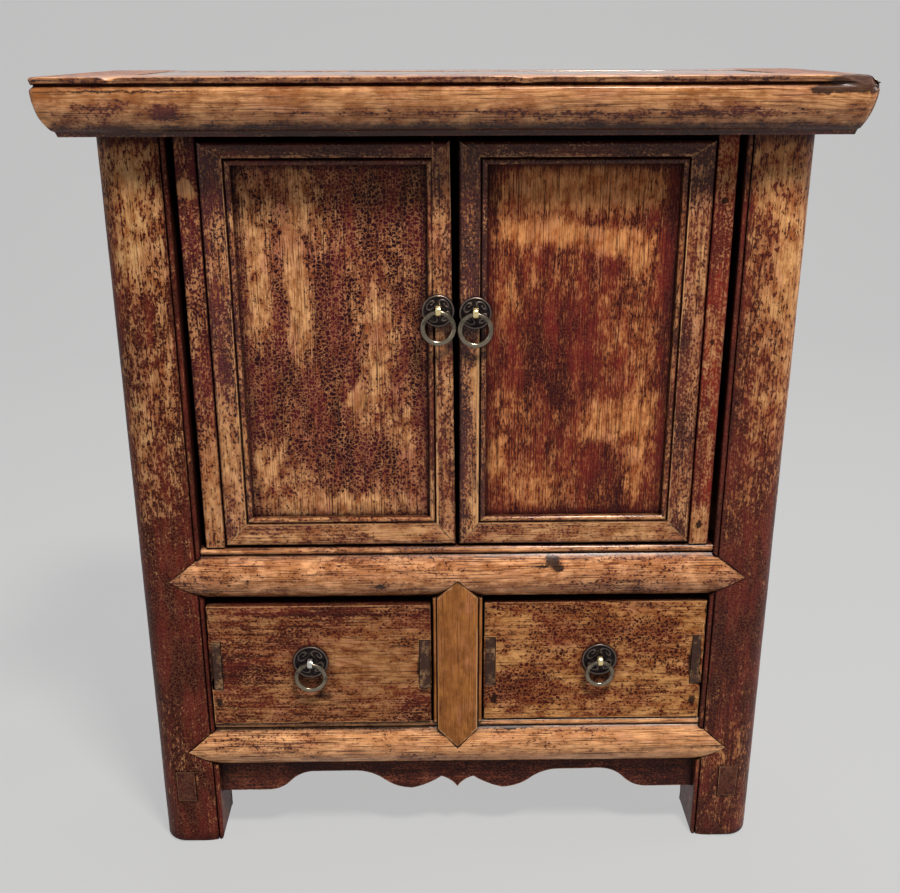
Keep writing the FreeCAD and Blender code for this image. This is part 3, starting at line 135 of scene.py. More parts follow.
outline = [(SHEET_FRONT, 0.0), (SHEET_BEND, 0.0)]
for step in range(1, SHEET_BEND_STEPS + 1):
    angle = math.radians(90 * step / SHEET_BEND_STEPS)
    outline.append((SHEET_BEND + SHEET_BEND_RADIUS * math.sin(angle),
                    SHEET_BEND_RADIUS * (1 - math.cos(angle))))
outline.append((SHEET_BEND + SHEET_BEND_RADIUS, SHEET_TOP))
corners = [(side * SHEET_HALF_WIDTH, y, z) for y, z in outline for side in (-1, 1)]
strips = [(2 * i, 2 * i + 1, 2 * i + 3, 2 * i + 2) for i in range(len(outline) - 1)]
sheet_mesh = bpy.data.meshes.new("grey_sheet")
sheet_mesh.from_pydata(corners, [], strips)
sheet_mesh.shade_smooth()
sheet = bpy.data.objects.new("grey_sheet", sheet_mesh)
bpy.context.scene.collection.objects.link(sheet)
sheet_paint = bpy.data.materials.new("grey_sheet")
sheet_paint.use_nodes = True
tree = sheet_paint.node_tree
matt = tree.nodes["Principled BSDF"]
matt.inputs["Base Color"].default_value = SHEET_GREY
matt.inputs["Roughness"].default_value = 0.9
glow = tree.nodes.new("ShaderNodeEmission")
glow.inputs["Color"].default_value = SEEN_GREY
layers = tree.nodes.new("ShaderNodeMixShader")
tree.links.new(seen_share(tree, SEEN_SHARE), layers.inputs["Fac"])
tree.links.new(matt.outputs["BSDF"], layers.inputs[1])
tree.links.new(glow.outputs["Emission"], layers.inputs[2])
tree.links.new(layers.outputs["Shader"], tree.nodes["Material Output"].inputs["Surface"])
sheet_mesh.materials.append(sheet_paint)

# Front legs: each is one upright of elm, its outer corner rounded by plane, its face slightly crowned and
# its inner arris worked to a bead. The maroon lacquer has worn off them in flecks, most of all higher up.
WELD = 0.00001
FLAT_ANGLE = math.radians(0.6)
ARRIS_ANGLE = math.radians(27)
CREASE_ANGLE = math.radians(50)
WEAR_BAND = 0.0022
CROSS_PITCH = 2.0
TOP_FRONT = -0.155
EVERYWHERE = 1e6
OCHRE = (190, 134, 84)
BROWN = (142, 84, 44)
DARK_BROWN = (56, 26, 14)
MAROON = (92, 29, 24)
DARK_MAROON = (50, 13, 11)
RED_GLAZE = (122, 46, 26)
ROSE = (178, 112, 90)
WORN_AND_GLINT = (224, 176, 128)
END_GRAIN = (44, 30, 32)
GRIME_AND_SHADE = (20, 8, 6)


def paint(colour):
    """A colour from 0 to 255, as paint is matched, turned to linear light."""
    parts = []
    for part in colour:
        share = part / 255
        parts.append(share / 12.92 if share <= 0.04045 else ((share + 0.055) / 1.055) ** 2.4)
    return (*parts, 1)


class Finish:
    """The layers of one finish, laid on one after another."""

    def __init__(self, name, seed):
        self.material = bpy.data.materials.new(name)
        self.material.use_nodes = True
        self.tree = self.material.node_tree
        self.tree.nodes.clear()
        self.seed = seed
        self.place = self.add("ShaderNodeTexCoord").outputs["Object"]

    def add(self, kind, inputs=(), **settings):
        """One node, with its settings made before its inputs are filled."""
        node = self.tree.nodes.new(kind)
        for name, value in settings.items():
            setattr(node, name, value)
        for name, value in dict(inputs).items():
            if isinstance(value, bpy.types.NodeSocket):
                self.tree.links.new(value, node.inputs[name])
            else:
                node.inputs[name].default_value = value
        return node

    def reckon(self, operation, *terms):
        """One step of sums on numbers or sockets."""
        return self.add("ShaderNodeMath", dict(enumerate(terms)), operation=operation).outputs[0]

    def vector(self, operation, inputs):
        """One step of sums on places or directions."""
        return self.add("ShaderNodeVectorMath", inputs, operation=operation).outputs[0]

    def sum(self, *terms):
        """Adds numbers or sockets."""
        total = terms[0]
        for term in terms[1:]:
            total = self.reckon("ADD", total, term)
        return total

    def times(self, a, b):
        """Multiplies two numbers or sockets."""
        return self.reckon("MULTIPLY", a, b)

    def step(self, value, low, high, start=0.0, end=1.0):
        """A soft step from start to end as value goes from low to high."""
        node = self.add("ShaderNodeMapRange", {"Value": value, "From Min": low, "From Max": high,
                                               "To Min": start, "To Max": end},
                        interpolation_type="SMOOTHSTEP")
        return node.outputs["Result"]

    def blend(self, first, second, share):
        """Lays the second colour over the first by a share."""
        node = self.add("ShaderNodeMix", {0: share, 6: first, 7: second}, data_type="RGBA")
        return node.outputs[2]

    def along(self, grain, across, along, shift=0.0):
        """The place, counted in cycles per metre across and along the grain."""
        scale = [along if axis == grain else across for axis in "XYZ"]
        offset = [self.seed * 7.3 + shift, self.seed * 3.1 - shift, self.seed * 5.7 + 2 * shift]
        return self.vector("MULTIPLY_ADD", {0: self.place, 1: scale, 2: offset})

    def mottle(self, place, detail=4.0, rough=0.55, distortion=0.0, colour=False):
        """Cloudy variation from 0 to 1 about a middle of 0.5."""
        node = self.add("ShaderNodeTexNoise", {"Vector": place, "Scale": 1.0, "Detail": detail,
                                               "Roughness": rough, "Distortion": distortion})
        return node.outputs["Color" if colour else "Fac"]

    def spots(self, patches, fray=0.022, ragged=45.0, reach=EVERYWHERE):
        """Soft ragged patches, each ((x, z), (width, height), amount) with sizes in metres. They go no
        deeper than reach behind the front of the top."""
        noise_place = self.along("Y", ragged, ragged, 3.3)
        edge = self.mottle(noise_place, detail=5.0, rough=0.65, colour=True)
        edge = self.vector("SUBTRACT", {0: edge, 1: (0.5, 0.5, 0.5)})
        moved = self.vector("MULTIPLY_ADD", {0: edge, 1: (fray, fray, fray), 2: self.place})
        total = 0.0
        for (x, z), (width, height), amount in patches:
            local = self.vector("MULTIPLY_ADD", {0: moved, 1: (1 / width, 1 / reach, 1 / height),
                                                 2: (-x / width, -TOP_FRONT / reach, -z / height)})
            distance = self.add("ShaderNodeVectorMath", {0: local}, operation="LENGTH").outputs["Value"]
            total = self.sum(total, self.step(distance, 1.35, 0.3, 0.0, amount))
        return total


FULL_TURN = 6.283
CRAZE_LINE = 0.11
CRAZE_WANDER = 2.3
TENON_SHOWS = -0.1035
SEAM = 0.0012
CREVICE_REACH = 0.016
MOST_SOIL_AND_SHADE = 0.93
BUMP_REACH = 0.0006


def old_lacquer(name, grain="Z", seed=1.0, pale=OCHRE, deep=BROWN, coat=MAROON, coat_deep=DARK_MAROON,
                left=0.5, patches=(), flake=0.3, net=0.0, rings=0.25, stains=(), dirt_and_shade=0.5, wear=0.35,
                shine=0.40, fibre=0.5, cell=250.0, glaze=0.5, speckle=2.3, gloss=0.08, mirror=0.22,
                dark_front=None, stain_colour=GRIME_AND_SHADE, stain_reach=EVERYWHERE, flecks=(440.0, 300.0),
                soft=0.05, bloom=0.45, planks=None):
    """Worn lacquer on wood. grain is the axis of its grain, seed its figure, pale and deep the colours of
    the wood, coat and coat_deep of the lacquer. left is how much lacquer remains, patches where there is
    more or less of it, flake how far it is crazed, cell the craze cells in a metre, net how far it stays
    in islands between the cracks, flecks and speckle how fine and how strong its flecks are, soft how soft
    their edges, wear how bare and pale the arrises, the pale partly a painted highlight, rings and fibre
    the strength of the grain, bloom the rosy haze, glaze the red in the wood, dirt how much grime and deep
    lacquer colour is laid into corners and recesses, partly as painted shade, shine the roughness, gloss
    and mirror the wax and its blur, stains the marks of stain_colour, as far behind the front of the top
    as stain_reach, dark_front how dark a tenon's end grain is, and planks the axis and width of boards
    glued side by side."""
    finish = Finish(name, seed)
    cloud = finish.mottle(finish.along(grain, 15.0, 7.0, 9.4), detail=4.0, rough=0.6, distortion=0.3)
    middle = finish.mottle(finish.along(grain, 90.0, 50.0, 2.2), detail=5.0, rough=0.68)
    fleck = finish.mottle(finish.along(grain, *flecks, 4.2), detail=3.0, rough=0.65)
    fine = finish.mottle(finish.along(grain, 800.0, 18.0), detail=3.0, rough=0.62)
    pores = finish.mottle(finish.along(grain, 1500.0, 60.0, 1.7), detail=2.0, rough=0.5)
    bend = finish.mottle(finish.along(grain, 9.0, 1.6, 5.1), detail=2.0, rough=0.4)
    ring_place = finish.sum(finish.times(bend, 34.0), finish.times(fine, 0.8))
    ring_wave = finish.reckon("SINE", finish.times(ring_place, FULL_TURN))
    ring = finish.step(ring_wave, -0.2, 1.0)

    wander = finish.mottle(finish.along("Y", 130.0, 130.0, 6.6), detail=4.0, rough=0.7, colour=True)
    wander = finish.vector("MULTIPLY", {0: wander, 1: (CRAZE_WANDER, CRAZE_WANDER, CRAZE_WANDER)})
    cells = finish.vector("ADD", {0: finish.along("Y", cell, cell), 1: wander})
    cracks = finish.add("ShaderNodeTexVoronoi", {"Vector": cells, "Scale": 1.0, "Randomness": 1.0},
                        feature="DISTANCE_TO_EDGE").outputs["Distance"]
    crack = finish.step(cracks, CRAZE_LINE, 0.04)

    crevice = finish.add("ShaderNodeAmbientOcclusion", {"Distance": CREVICE_REACH}, samples=4).outputs["AO"]
    hidden = finish.step(crevice, 0.85, 0.40)
    arris = finish.add("ShaderNodeAttribute", attribute_name="arris").outputs["Fac"]
    rubbed = finish.times(finish.step(arris, 0.45, 1.0), finish.step(middle, 0.38, 0.56, 0.2, 1.0))

    broad = finish.sum(left - 0.5, finish.spots(patches) if patches else 0.0,
                       finish.times(finish.sum(cloud, -0.5), 0.9),
                       finish.times(finish.sum(middle, -0.5), 1.0),
                       finish.times(hidden, 0.62), finish.times(rubbed, -wear))
    remains = finish.sum(broad, finish.times(finish.sum(fleck, -0.5), speckle),
                         finish.times(finish.sum(fine, -0.5), 0.8))
    crazed = finish.step(broad, -0.34, 0.06)
    if net:
        islands = finish.times(finish.sum(cracks, -CRAZE_LINE), 2.8 * net)
        remains = finish.sum(remains, finish.times(islands, crazed))
    cover = finish.step(remains, -soft, soft)
    cover = finish.times(cover, finish.sum(1.0, finish.times(finish.times(crack, crazed), -flake)))

    haze = finish.mottle(finish.along(grain, 48.0, 22.0, 8.8), detail=4.0, rough=0.6)
    wood = finish.blend(paint(pale), paint(ROSE), finish.step(haze, 0.46, 0.66, 0.0, bloom))
    wood = finish.blend(wood, paint(deep), finish.step(middle, 0.36, 0.66))
    wood = finish.blend(wood, paint(deep), finish.times(ring, rings))
    # Arrises are lightened toward a pale colour: bare rubbed wood and a painted highlight along the edges.
    wood = finish.blend(wood, paint(WORN_AND_GLINT), finish.times(rubbed, 1.3 * wear))
    wood = finish.blend(wood, paint(RED_GLAZE), finish.step(broad, -0.42, 0.12, 0.0, glaze))
    wood = finish.blend(wood, paint(DARK_BROWN), finish.step(fine, 0.50, 0.66, 0.0, fibre))
    wood = finish.blend(wood, paint(GRIME_AND_SHADE), finish.step(pores, 0.56, 0.70, 0.0, 0.8 * fibre))
    old = finish.mottle(finish.along(grain, 60.0, 14.0, 2.9), detail=4.0, rough=0.6)
    lacquer = finish.blend(paint(coat), paint(coat_deep), finish.step(old, 0.36, 0.60))
    lacquer = finish.blend(lacquer, paint(coat_deep), finish.step(fine, 0.46, 0.72, 0.0, 0.7))
    surface = finish.blend(wood, lacquer, cover)
    if stains:
        marks = finish.spots(stains, 0.011, 150.0, stain_reach)
        surface = finish.blend(surface, paint(stain_colour), finish.step(marks, 0.22, 0.62, 0.0, 0.9))
    if dark_front:
        height_y = finish.add("ShaderNodeSeparateXYZ", {0: finish.place}).outputs["Y"]
        end_grain = finish.times(finish.step(height_y, TENON_SHOWS, TENON_SHOWS - 0.002),
                                 finish.step(middle, 0.48, 0.66, 1.0, 0.35))
        surface = finish.blend(surface, paint(END_GRAIN), finish.times(end_grain, dark_front))
    # Deep lacquer colour laid along recesses found by occlusion: old lacquer kept in the corners and painted
    # shade.
    edge = finish.step(crevice, 0.97, 0.62, 0.0, min(0.95, dirt_and_shade * 1.7))
    edge = finish.times(edge, finish.step(fleck, 0.28, 0.50, 0.55, 1.0))
    surface = finish.blend(surface, paint(coat_deep), edge)
    if planks:
        side, width = planks
        run = finish.add("ShaderNodeSeparateXYZ", {0: finish.place}).outputs[side]
        run = finish.sum(finish.times(run, 1 / width), finish.times(bend, 0.02), finish.seed)
        number = finish.reckon("FLOOR", run)
        tone = finish.add("ShaderNodeTexWhiteNoise", {"W": number}, noise_dimensions="1D").outputs["Value"]
        surface = finish.blend(surface, paint(coat_deep), finish.times(tone, 0.45))
        from_middle = finish.reckon("ABSOLUTE", finish.reckon("SUBTRACT", finish.reckon("FRACT", run), 0.5))
        surface = finish.blend(surface, paint(GRIME_AND_SHADE), finish.step(from_middle, 0.5 - SEAM / width, 0.5))
    # Grime colour laid into recesses found by occlusion, which is painted shade, and in cloudy patches, which
    # is dirt.
    soil_and_shade = finish.sum(finish.times(finish.step(crevice, 0.80, 0.30), dirt_and_shade * 1.8),
                      finish.step(cloud, 0.54, 0.74, 0.0, dirt_and_shade * 0.4))
    soil_and_shade = finish.times(soil_and_shade, finish.step(fleck, 0.30, 0.62, 0.75, 1.0))
    soil_and_shade = finish.reckon("MINIMUM", soil_and_shade, MOST_SOIL_AND_SHADE)
    surface = finish.blend(surface, paint(GRIME_AND_SHADE), soil_and_shade)

    polish = finish.sum(shine, finish.times(finish.sum(1.0, finish.times(cover, -1.0)), 0.08),
                        finish.times(finish.sum(fleck, -0.5), 0.25), finish.times(soil_and_shade, 0.25))
    height = finish.sum(finish.times(cover, 0.6), finish.times(fine, -0.7), finish.times(crack, -0.25),
                        finish.times(middle, 0.9), finish.times(pores, -0.35))
    bump = finish.add("ShaderNodeBump", {"Height": height, "Distance": BUMP_REACH, "Strength": 0.8})
    shader = finish.add("ShaderNodeBsdfPrincipled", {"Base Color": surface, "Roughness": polish,
                                                     "Normal": bump.outputs["Normal"],
                                                     "Specular IOR Level": 0.06, "Coat Weight": gloss,
                                                     "Coat Roughness": mirror, "Coat IOR": 1.45})
    finish.add("ShaderNodeOutputMaterial", {"Surface": shader.outputs["BSDF"]})
    return finish.material


LARGE_FACE = 2.4
SLOW_WAVES = 13
QUICK_WAVES = 60
NICKS = 95
SMALL_NICKS = 240
NICK_START = 0.28
RUB_WAVES = 70


def aged(node, body, material, arris=0.0009, uneven=0.0005, grid=0.008, dents=0.0, rubs=(), seed=0.0,
         joint=None, cuts=(), shape=None):
    """Stands for a node with its own shape, its arrises worn round and its faces a little uneven. grid is
    how far apart its points lie along it, dents how deep the nicks in its arrises go, rubs are
    (place, radius, move) spots that are worn away, joint tells the places whose edges stay sharp because
    another piece is fitted to them, and shape moves every point, with cuts, each (axis, place), where it
    bends them. Nothing leaves the node's own box."""
    work = bmesh.new()
    work.from_mesh(nodes[node].data)
    bmesh.ops.remove_doubles(work, verts=work.verts, dist=WELD)
    bmesh.ops.dissolve_limit(work, angle_limit=FLAT_ANGLE, verts=work.verts, edges=work.edges)
    layer = work.verts.layers.float.new("arris")
    rounded = work.faces.layers.int.new("rounded")
    edges = [e for e in work.edges if len(e.link_faces) == 2 and e.calc_face_angle_signed(0) > ARRIS_ANGLE]
    if joint:
        edges = [e for e in edges if not all(joint(vert.co) for vert in e.verts)]
    worn = bmesh.ops.bevel(work, geom=edges, offset=arris, offset_type="OFFSET", segments=2, profile=0.5,
                           affect="EDGES", clamp_overlap=True, material=-1, loop_slide=True)
    for face in worn["faces"]:
        face[rounded] = 1
    wide = [f for f in work.faces
            if not f[rounded] and f.calc_area() > LARGE_FACE * WEAR_BAND * f.calc_perimeter()]
    bmesh.ops.inset_individual(work, faces=wide, thickness=WEAR_BAND, use_even_offset=True)
    low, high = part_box(node)
    longest = max(range(3), key=lambda axis: high[axis] - low[axis])
    planes = [(axis, at) for axis, at in cuts if low[axis] < at < high[axis]]
    for axis in range(3):
        pitch = grid if axis == longest else grid * CROSS_PITCH
        count = int((high[axis] - low[axis]) / pitch)
        planes += [(axis, low[axis] + (high[axis] - low[axis]) * cut / count) for cut in range(1, count)]
    for axis, at in planes:
        place = low.copy()
        place[axis] = at
        bmesh.ops.bisect_plane(work, geom=work.verts[:] + work.edges[:] + work.faces[:], dist=WELD,
                               plane_co=place, plane_no=Vector((axis == 0, axis == 1, axis == 2)))
    work.normal_update()
    shift = Vector((seed * 1.7, seed * 0.9, seed * 2.3))
    moves = []
    for vert in work.verts:
        vert[layer] = float(any(face[rounded] for face in vert.link_faces))
        waves = 0.5 * noise.noise(vert.co * SLOW_WAVES + shift)
        depth = uneven * (0.7 + waves + 0.2 * noise.noise(vert.co * QUICK_WAVES + shift))
        if vert[layer]:
            small = 0.5 * noise.noise(vert.co * SMALL_NICKS + shift)
            nick = noise.noise(vert.co * NICKS + shift) + small
            depth += dents * max(0.0, nick - NICK_START)
        move = vert.normal * -depth
        for place, radius, most in rubs:
            distance = (vert.co - Vector(place)).length / radius
            if distance < 1:
                ragged = 0.8 + 0.4 * noise.noise(vert.co * RUB_WAVES + shift)
                move += Vector(most) * (1 - distance * distance) ** 2 * ragged
        moves.append(move)
    for vert, move in zip(work.verts, moves):
        place = vert.co + move
        if shape:
            place = shape(place)
        for axis in range(3):
            vert.co[axis] = min(max(place[axis], low[axis]), high[axis])
    mesh = bpy.data.meshes.new(f"{node}_worn")
    work.to_mesh(mesh)
    work.free()
    mesh.shade_smooth()
    mesh.set_sharp_from_angle(angle=CREASE_ANGLE)
    mesh.materials.append(material)
    piece = bpy.data.objects.new(f"{node}_worn", mesh)
    bpy.context.scene.collection.objects.link(piece)
    weights = piece.modifiers.new("even_shading", "WEIGHTED_NORMAL")
    weights.keep_sharp = True
    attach(piece, body)
    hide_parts(node)


left_leg_finish = old_lacquer(
    "left_leg_lacquer", seed=1.0, pale=(200, 155, 105), deep=(150, 98, 52), left=0.42, net=0.2,
    flecks=(420.0, 170.0), patches=[
        ((-0.335, 0.745), (0.035, 0.075), -0.16), ((-0.345, 0.640), (0.012, 0.200), 0.16),
        ((-0.312, 0.640), (0.030, 0.045), 0.14), ((-0.338, 0.555), (0.018, 0.080), -0.10),
        ((-0.300, 0.520), (0.018, 0.070), 0.10), ((-0.318, 0.440), (0.030, 0.045), -0.06),
        ((-0.315, 0.390), (0.060, 0.130), 0.22), ((-0.315, 0.300), (0.070, 0.100), 0.34),
        ((-0.315, 0.170), (0.070, 0.110), 0.44), ((-0.320, 0.030), (0.070, 0.060), 0.44),
        ((-0.281, 0.560), (0.009, 0.320), 0.45), ((-0.350, 0.500), (0.007, 0.350), 0.25)])
aged("front_left_leg", "carcase", left_leg_finish, arris=0.0014, uneven=0.0007, dents=0.0018,
     seed=1)
right_leg_finish = old_lacquer(
    "right_leg_lacquer", seed=2.0, pale=(212, 157, 103), deep=(160, 100, 52), left=0.42, glaze=0.6,
    gloss=0.25, flecks=(420.0, 170.0), patches=[
        ((0.315, 0.770), (0.050, 0.045), -0.12), ((0.328, 0.690), (0.020, 0.060), -0.16),
        ((0.325, 0.600), (0.026, 0.050), 0.02), ((0.298, 0.560), (0.012, 0.120), 0.20),
        ((0.318, 0.480), (0.034, 0.060), -0.04), ((0.312, 0.260), (0.070, 0.140), 0.38),
        ((0.312, 0.390), (0.050, 0.140), 0.28), ((0.345, 0.480), (0.008, 0.120), 0.10),
        # The narrow bare strip down the outer rounded corner is worn wood and a painted highlight along that
        # edge.
        ((0.353, 0.720), (0.005, 0.110), -0.80), ((0.315, 0.050), (0.060, 0.070), 0.42),
        ((0.281, 0.560), (0.010, 0.320), 0.45)])
aged("front_right_leg", "carcase", right_leg_finish, arris=0.0014, uneven=0.0007, dents=0.0018,
     seed=2)

# Rear legs: plain uprights of the same elm, which stand against a wall and were never worn bright.
rear_leg_finish = old_lacquer(
    "rear_leg_wood", seed=3.0, pale=(140, 90, 52), deep=(94, 58, 36), left=0.40, shine=0.5)
for side in ("left", "right"):
    aged(f"rear_{side}_leg", "carcase", rear_leg_finish, arris=0.0012, grid=0.014, seed=3)

# Front rails: two half-round rails under a small bead. Their pointed ends lap over the legs, and the wax
# of many hands has left their upper sides pale and smooth.
sill_finish = old_lacquer(
    "sill_lacquer", grain="X", seed=4.0, pale=(228, 165, 115), deep=(164, 102, 54), left=0.24, rings=0.60,
    fibre=0.9, shine=0.32, glaze=0.35, gloss=0.6, mirror=0.24, patches=[
        # The two long patches low on the face add lacquer that darkens the underside: old lacquer and painted
        # shade.
        ((0.200, 0.335), (0.110, 0.018), 0.16), ((-0.100, 0.330), (0.060, 0.012), 0.14),
        ((-0.330, 0.345), (0.030, 0.020), 0.10), ((0.310, 0.345), (0.035, 0.020), 0.16)],
    stains=[((0.104, 0.366), (0.009, 0.006), 1.0), ((0.092, 0.360), (0.010, 0.002), 0.9),
            ((0.110, 0.358), (0.008, 0.004), 0.9), ((-0.085, 0.337), (0.008, 0.003), 0.7)])
aged("sill_rail", "carcase", sill_finish, arris=0.0008, dents=0.0010, seed=4)
lower_rail_finish = old_lacquer(
    "lower_rail_lacquer", grain="X", seed=5.0, pale=(234, 173, 119), deep=(190, 128, 78), left=0.17,
    rings=0.55, fibre=0.9, shine=0.32, glaze=0.35, gloss=0.6, mirror=0.24, patches=[
        # The patch low in the middle adds lacquer that darkens the underside: old lacquer and painted shade.
        ((-0.230, 0.140), (0.080, 0.020), 0.22), ((-0.040, 0.112), (0.060, 0.010), 0.16),
        ((0.230, 0.150), (0.070, 0.016), -0.12)],
    stains=[((0.058, 0.151), (0.036, 0.0030), 1.0)])
aged("lower_front_rail", "carcase", lower_rail_finish, arris=0.0008, dents=0.0010, seed=5)

# The divider between the drawers is lapped over both rails with a point at each end. It is the smoothest
# piece of the front: plain orange wood with hardly any lacquer left.
divider_finish = old_lacquer(
    "divider_lacquer", seed=6.0, pale=(168, 108, 54), deep=(134, 82, 40), left=0.10, rings=0.22, shine=0.34,
    fibre=0.55, glaze=0.15, speckle=0.8)
aged("drawer_divider", "carcase", divider_finish, arris=0.0009, dents=0.0006, seed=6)

# The apron is a thin scalloped board let into the lower rail and the legs, dark with old lacquer and
# with painted shade where it stands back under the rail.
apron_finish = old_lacquer(
    "apron_lacquer", grain="X", seed=7.0, pale=(104, 66, 46), deep=(76, 46, 34), left=0.56, dirt_and_shade=0.5,
    coat=(62, 28, 26), coat_deep=(38, 20, 20), shine=0.5, gloss=0.1)
aged("front_apron", "carcase", apron_finish, arris=0.0008, dents=0.0006, seed=7)

# Side and rear rails and the panels in their grooves close the carcase. The lower side rails are tenoned
# right through the front legs, where their end grain shows as a dark square above each foot.
side_finish = old_lacquer(
    "side_lacquer", seed=8.0, pale=(156, 98, 52), deep=(108, 64, 36), left=0.52, net=0.3,
    planks=("Y", 0.145))
side_rail_finish = old_lacquer(
    "side_rail_lacquer", grain="Y", seed=9.0, pale=(150, 96, 54), deep=(104, 64, 38), left=0.42,
    dark_front=0.6)
back_finish = old_lacquer(
    "back_boards", seed=10.0, pale=(140, 98, 60), deep=(98, 66, 42), left=0.06, shine=0.6, rings=0.5,
    glaze=0.1, gloss=0.0, planks=("X", 0.128))
rear_rail_finish = old_lacquer(
    "rear_rail_wood", grain="X", seed=11.0, pale=(136, 92, 58), deep=(94, 62, 40), left=0.10, shine=0.6,
    glaze=0.1, gloss=0.0)
for side in ("left", "right"):
    aged(f"{side}_side_panels", "carcase", side_finish, arris=0.0006, uneven=0.0006,
         grid=0.016, seed=8)
    aged(f"middle_{side}_rail", "carcase", side_rail_finish, grid=0.012, seed=9)
    aged(f"lower_{side}_rail", "carcase", side_rail_finish, arris=0.0005, grid=0.012, seed=10)
aged("back_panels", "carcase", back_finish, arris=0.0006, uneven=0.0006, grid=0.018, seed=11)
for rail in ("middle_rear_rail", "lower_rear_rail"):
    aged(rail, "carcase", rear_rail_finish, grid=0.014, seed=12)

# The cupboard's floor and the runners and guide under and between the drawers are bare boards.
inner_finish = old_lacquer(
    "bare_inner_wood", grain="X", seed=12.0, pale=(172, 126, 78), deep=(130, 90, 54), left=-0.1, shine=0.65,
    rings=0.5, glaze=0.0, gloss=0.0)
runner_finish = old_lacquer(
    "bare_runner_wood", grain="Y", seed=13.0, pale=(168, 120, 74), deep=(124, 84, 50), left=-0.1, shine=0.55,
    rings=0.4, glaze=0.0, gloss=0.0)
for node, finish in (("cabinet_floor", inner_finish), ("drawer_runners", runner_finish),
                     ("centre_guide", runner_finish), ("top_battens", runner_finish)):
    aged(node, "carcase", finish, grid=0.02, seed=13)

# The top is a mitred frame with a thin lip over a broad rounded edge, round a board that floats in its
# grooves. Its upper face is waxed and dark, and its right-hand corner is worn down.
TOP_SIDE = 0.391
TOP_FACE = 0.871
CORNER_RUBS = [((TOP_SIDE, TOP_FRONT, TOP_FACE), 0.030, (0, 0, -0.003)),
               ((-TOP_SIDE, TOP_FRONT, TOP_FACE), 0.014, (0.0015, 0.0015, -0.002)),
               ((-0.316, TOP_FRONT, TOP_FACE), 0.009, (0, 0.002, -0.003)),
               ((0.062, TOP_FRONT, TOP_FACE), 0.012, (0, 0.002, -0.002))]
edge_patches_and_light_bands = [
    ((-0.050, 0.838), (0.200, 0.0035), 0.30), ((0.150, 0.836), (0.120, 0.0035), 0.30),
    ((-0.268, 0.841), (0.016, 0.008), 0.60), ((-0.340, 0.838), (0.040, 0.014), 0.30),
    # The long band of more lacquer low on the ovolo is old lacquer and painted shade under its curve; the
    # long bare band high on it is bare wood and a painted highlight.
    ((0.000, 0.816), (0.700, 0.014), 0.62), ((0.280, 0.838), (0.080, 0.005), 0.36),
    ((0.000, 0.856), (0.600, 0.007), -0.45), ((0.000, 0.868), (0.400, 0.006), 0.30)]
top_finish = old_lacquer(
    "top_edge_lacquer", grain="X", seed=14.0, pale=(216, 156, 104), deep=(150, 90, 42), left=0.16,
    rings=0.55, speckle=1.9, dirt_and_shade=0.3, fibre=0.7, shine=0.30, gloss=0.7, mirror=0.24, glaze=0.4,
    patches=edge_patches_and_light_bands, stain_colour=(38, 15, 8), stains=[
        # The long dark mark low on the ovolo is painted shade under its curve; the others are stains and wear
        # at the corners.
        ((0.000, 0.8235), (0.700, 0.0100), 0.52), ((0.372, 0.865), (0.034, 0.010), 1.5),
        ((0.338, 0.858), (0.020, 0.004), 1.1), ((-0.300, 0.8585), (0.100, 0.0016), 0.6)])
top_end_finish = old_lacquer(
    "top_end_lacquer", grain="Y", seed=15.0, pale=(184, 125, 77), deep=(138, 82, 40), left=0.40, rings=0.35,
    fibre=0.6, shine=0.32, gloss=0.4,
    stains=[((0.378, 0.866), (0.020, 0.008), 1.0), ((-0.386, 0.866), (0.006, 0.004), 0.8)], stain_reach=0.030)
top_board_finish = old_lacquer(
    "top_board_lacquer", grain="X", seed=16.0, pale=(164, 106, 62), deep=(118, 70, 42), left=0.50, rings=0.35,
    fibre=0.5, shine=0.24, gloss=1.0, mirror=0.08, dirt_and_shade=0.3, bloom=0.2)


MITRE_REACH = 0.0003


def in_mitre(place):
    """Whether a place lies in one of the two mitres at the front of the top."""
    return abs(TOP_SIDE - abs(place.x) - (place.y - TOP_FRONT)) < MITRE_REACH


CORNER_CUT = 0.0022
CORNER_CUTS = 9
CORNER_BEVEL = 0.011
WORN_REACH = 0.052
WORN_FADE = 0.030
WORN_BEHIND = 0.35
WORN_DROP = 0.012
QUIRK_DROP = 0.005
QUIRK_INSET = 0.008
QUIRK_LEFT = 0.0022
RIGHT_ROUND = 0.018
LEFT_ROUND = 0.007
corner_cuts = [(axis, way * (TOP_SIDE - CORNER_CUT * step) if axis == 0 else TOP_FRONT + CORNER_CUT * step)
               for step in range(1, CORNER_CUTS) for axis, way in ((0, -1), (0, 1), (1, 1))]


def round_corners(place):
    """Wears the front corners of the top round in plan. The right one has lost its lip and quirk too."""
    beside = TOP_SIDE - abs(place.x)
    behind = place.y - TOP_FRONT
    inset = min(beside, behind)
    drop = TOP_FACE - place.z
    share = 0
    if place.x > 0:
        share = min(1, max(0, (WORN_REACH - max(beside, WORN_BEHIND * behind)) / WORN_FADE))
    if share and drop < WORN_DROP:
        worn = inset
        if QUIRK_LEFT < inset < QUIRK_INSET and drop > QUIRK_DROP:
            worn = inset - (inset - QUIRK_LEFT) * share
        cut = max(0, CORNER_BEVEL * share - worn - drop) / 2
        worn += cut
        place = Vector((place.x - (worn - inset) * (beside < behind + WELD),
                        place.y + (worn - inset) * (behind < beside + WELD), place.z - cut))
    radius = RIGHT_ROUND if place.x > 0 else LEFT_ROUND
    out_x = abs(place.x) - (TOP_SIDE - radius)
    out_y = TOP_FRONT + radius - place.y
    if out_x <= 0 or out_y <= 0:
        return place
    share = max(out_x, out_y) / math.hypot(out_x, out_y)
    return Vector((math.copysign(TOP_SIDE - radius + out_x * share, place.x),
                   TOP_FRONT + radius - out_y * share, place.z))


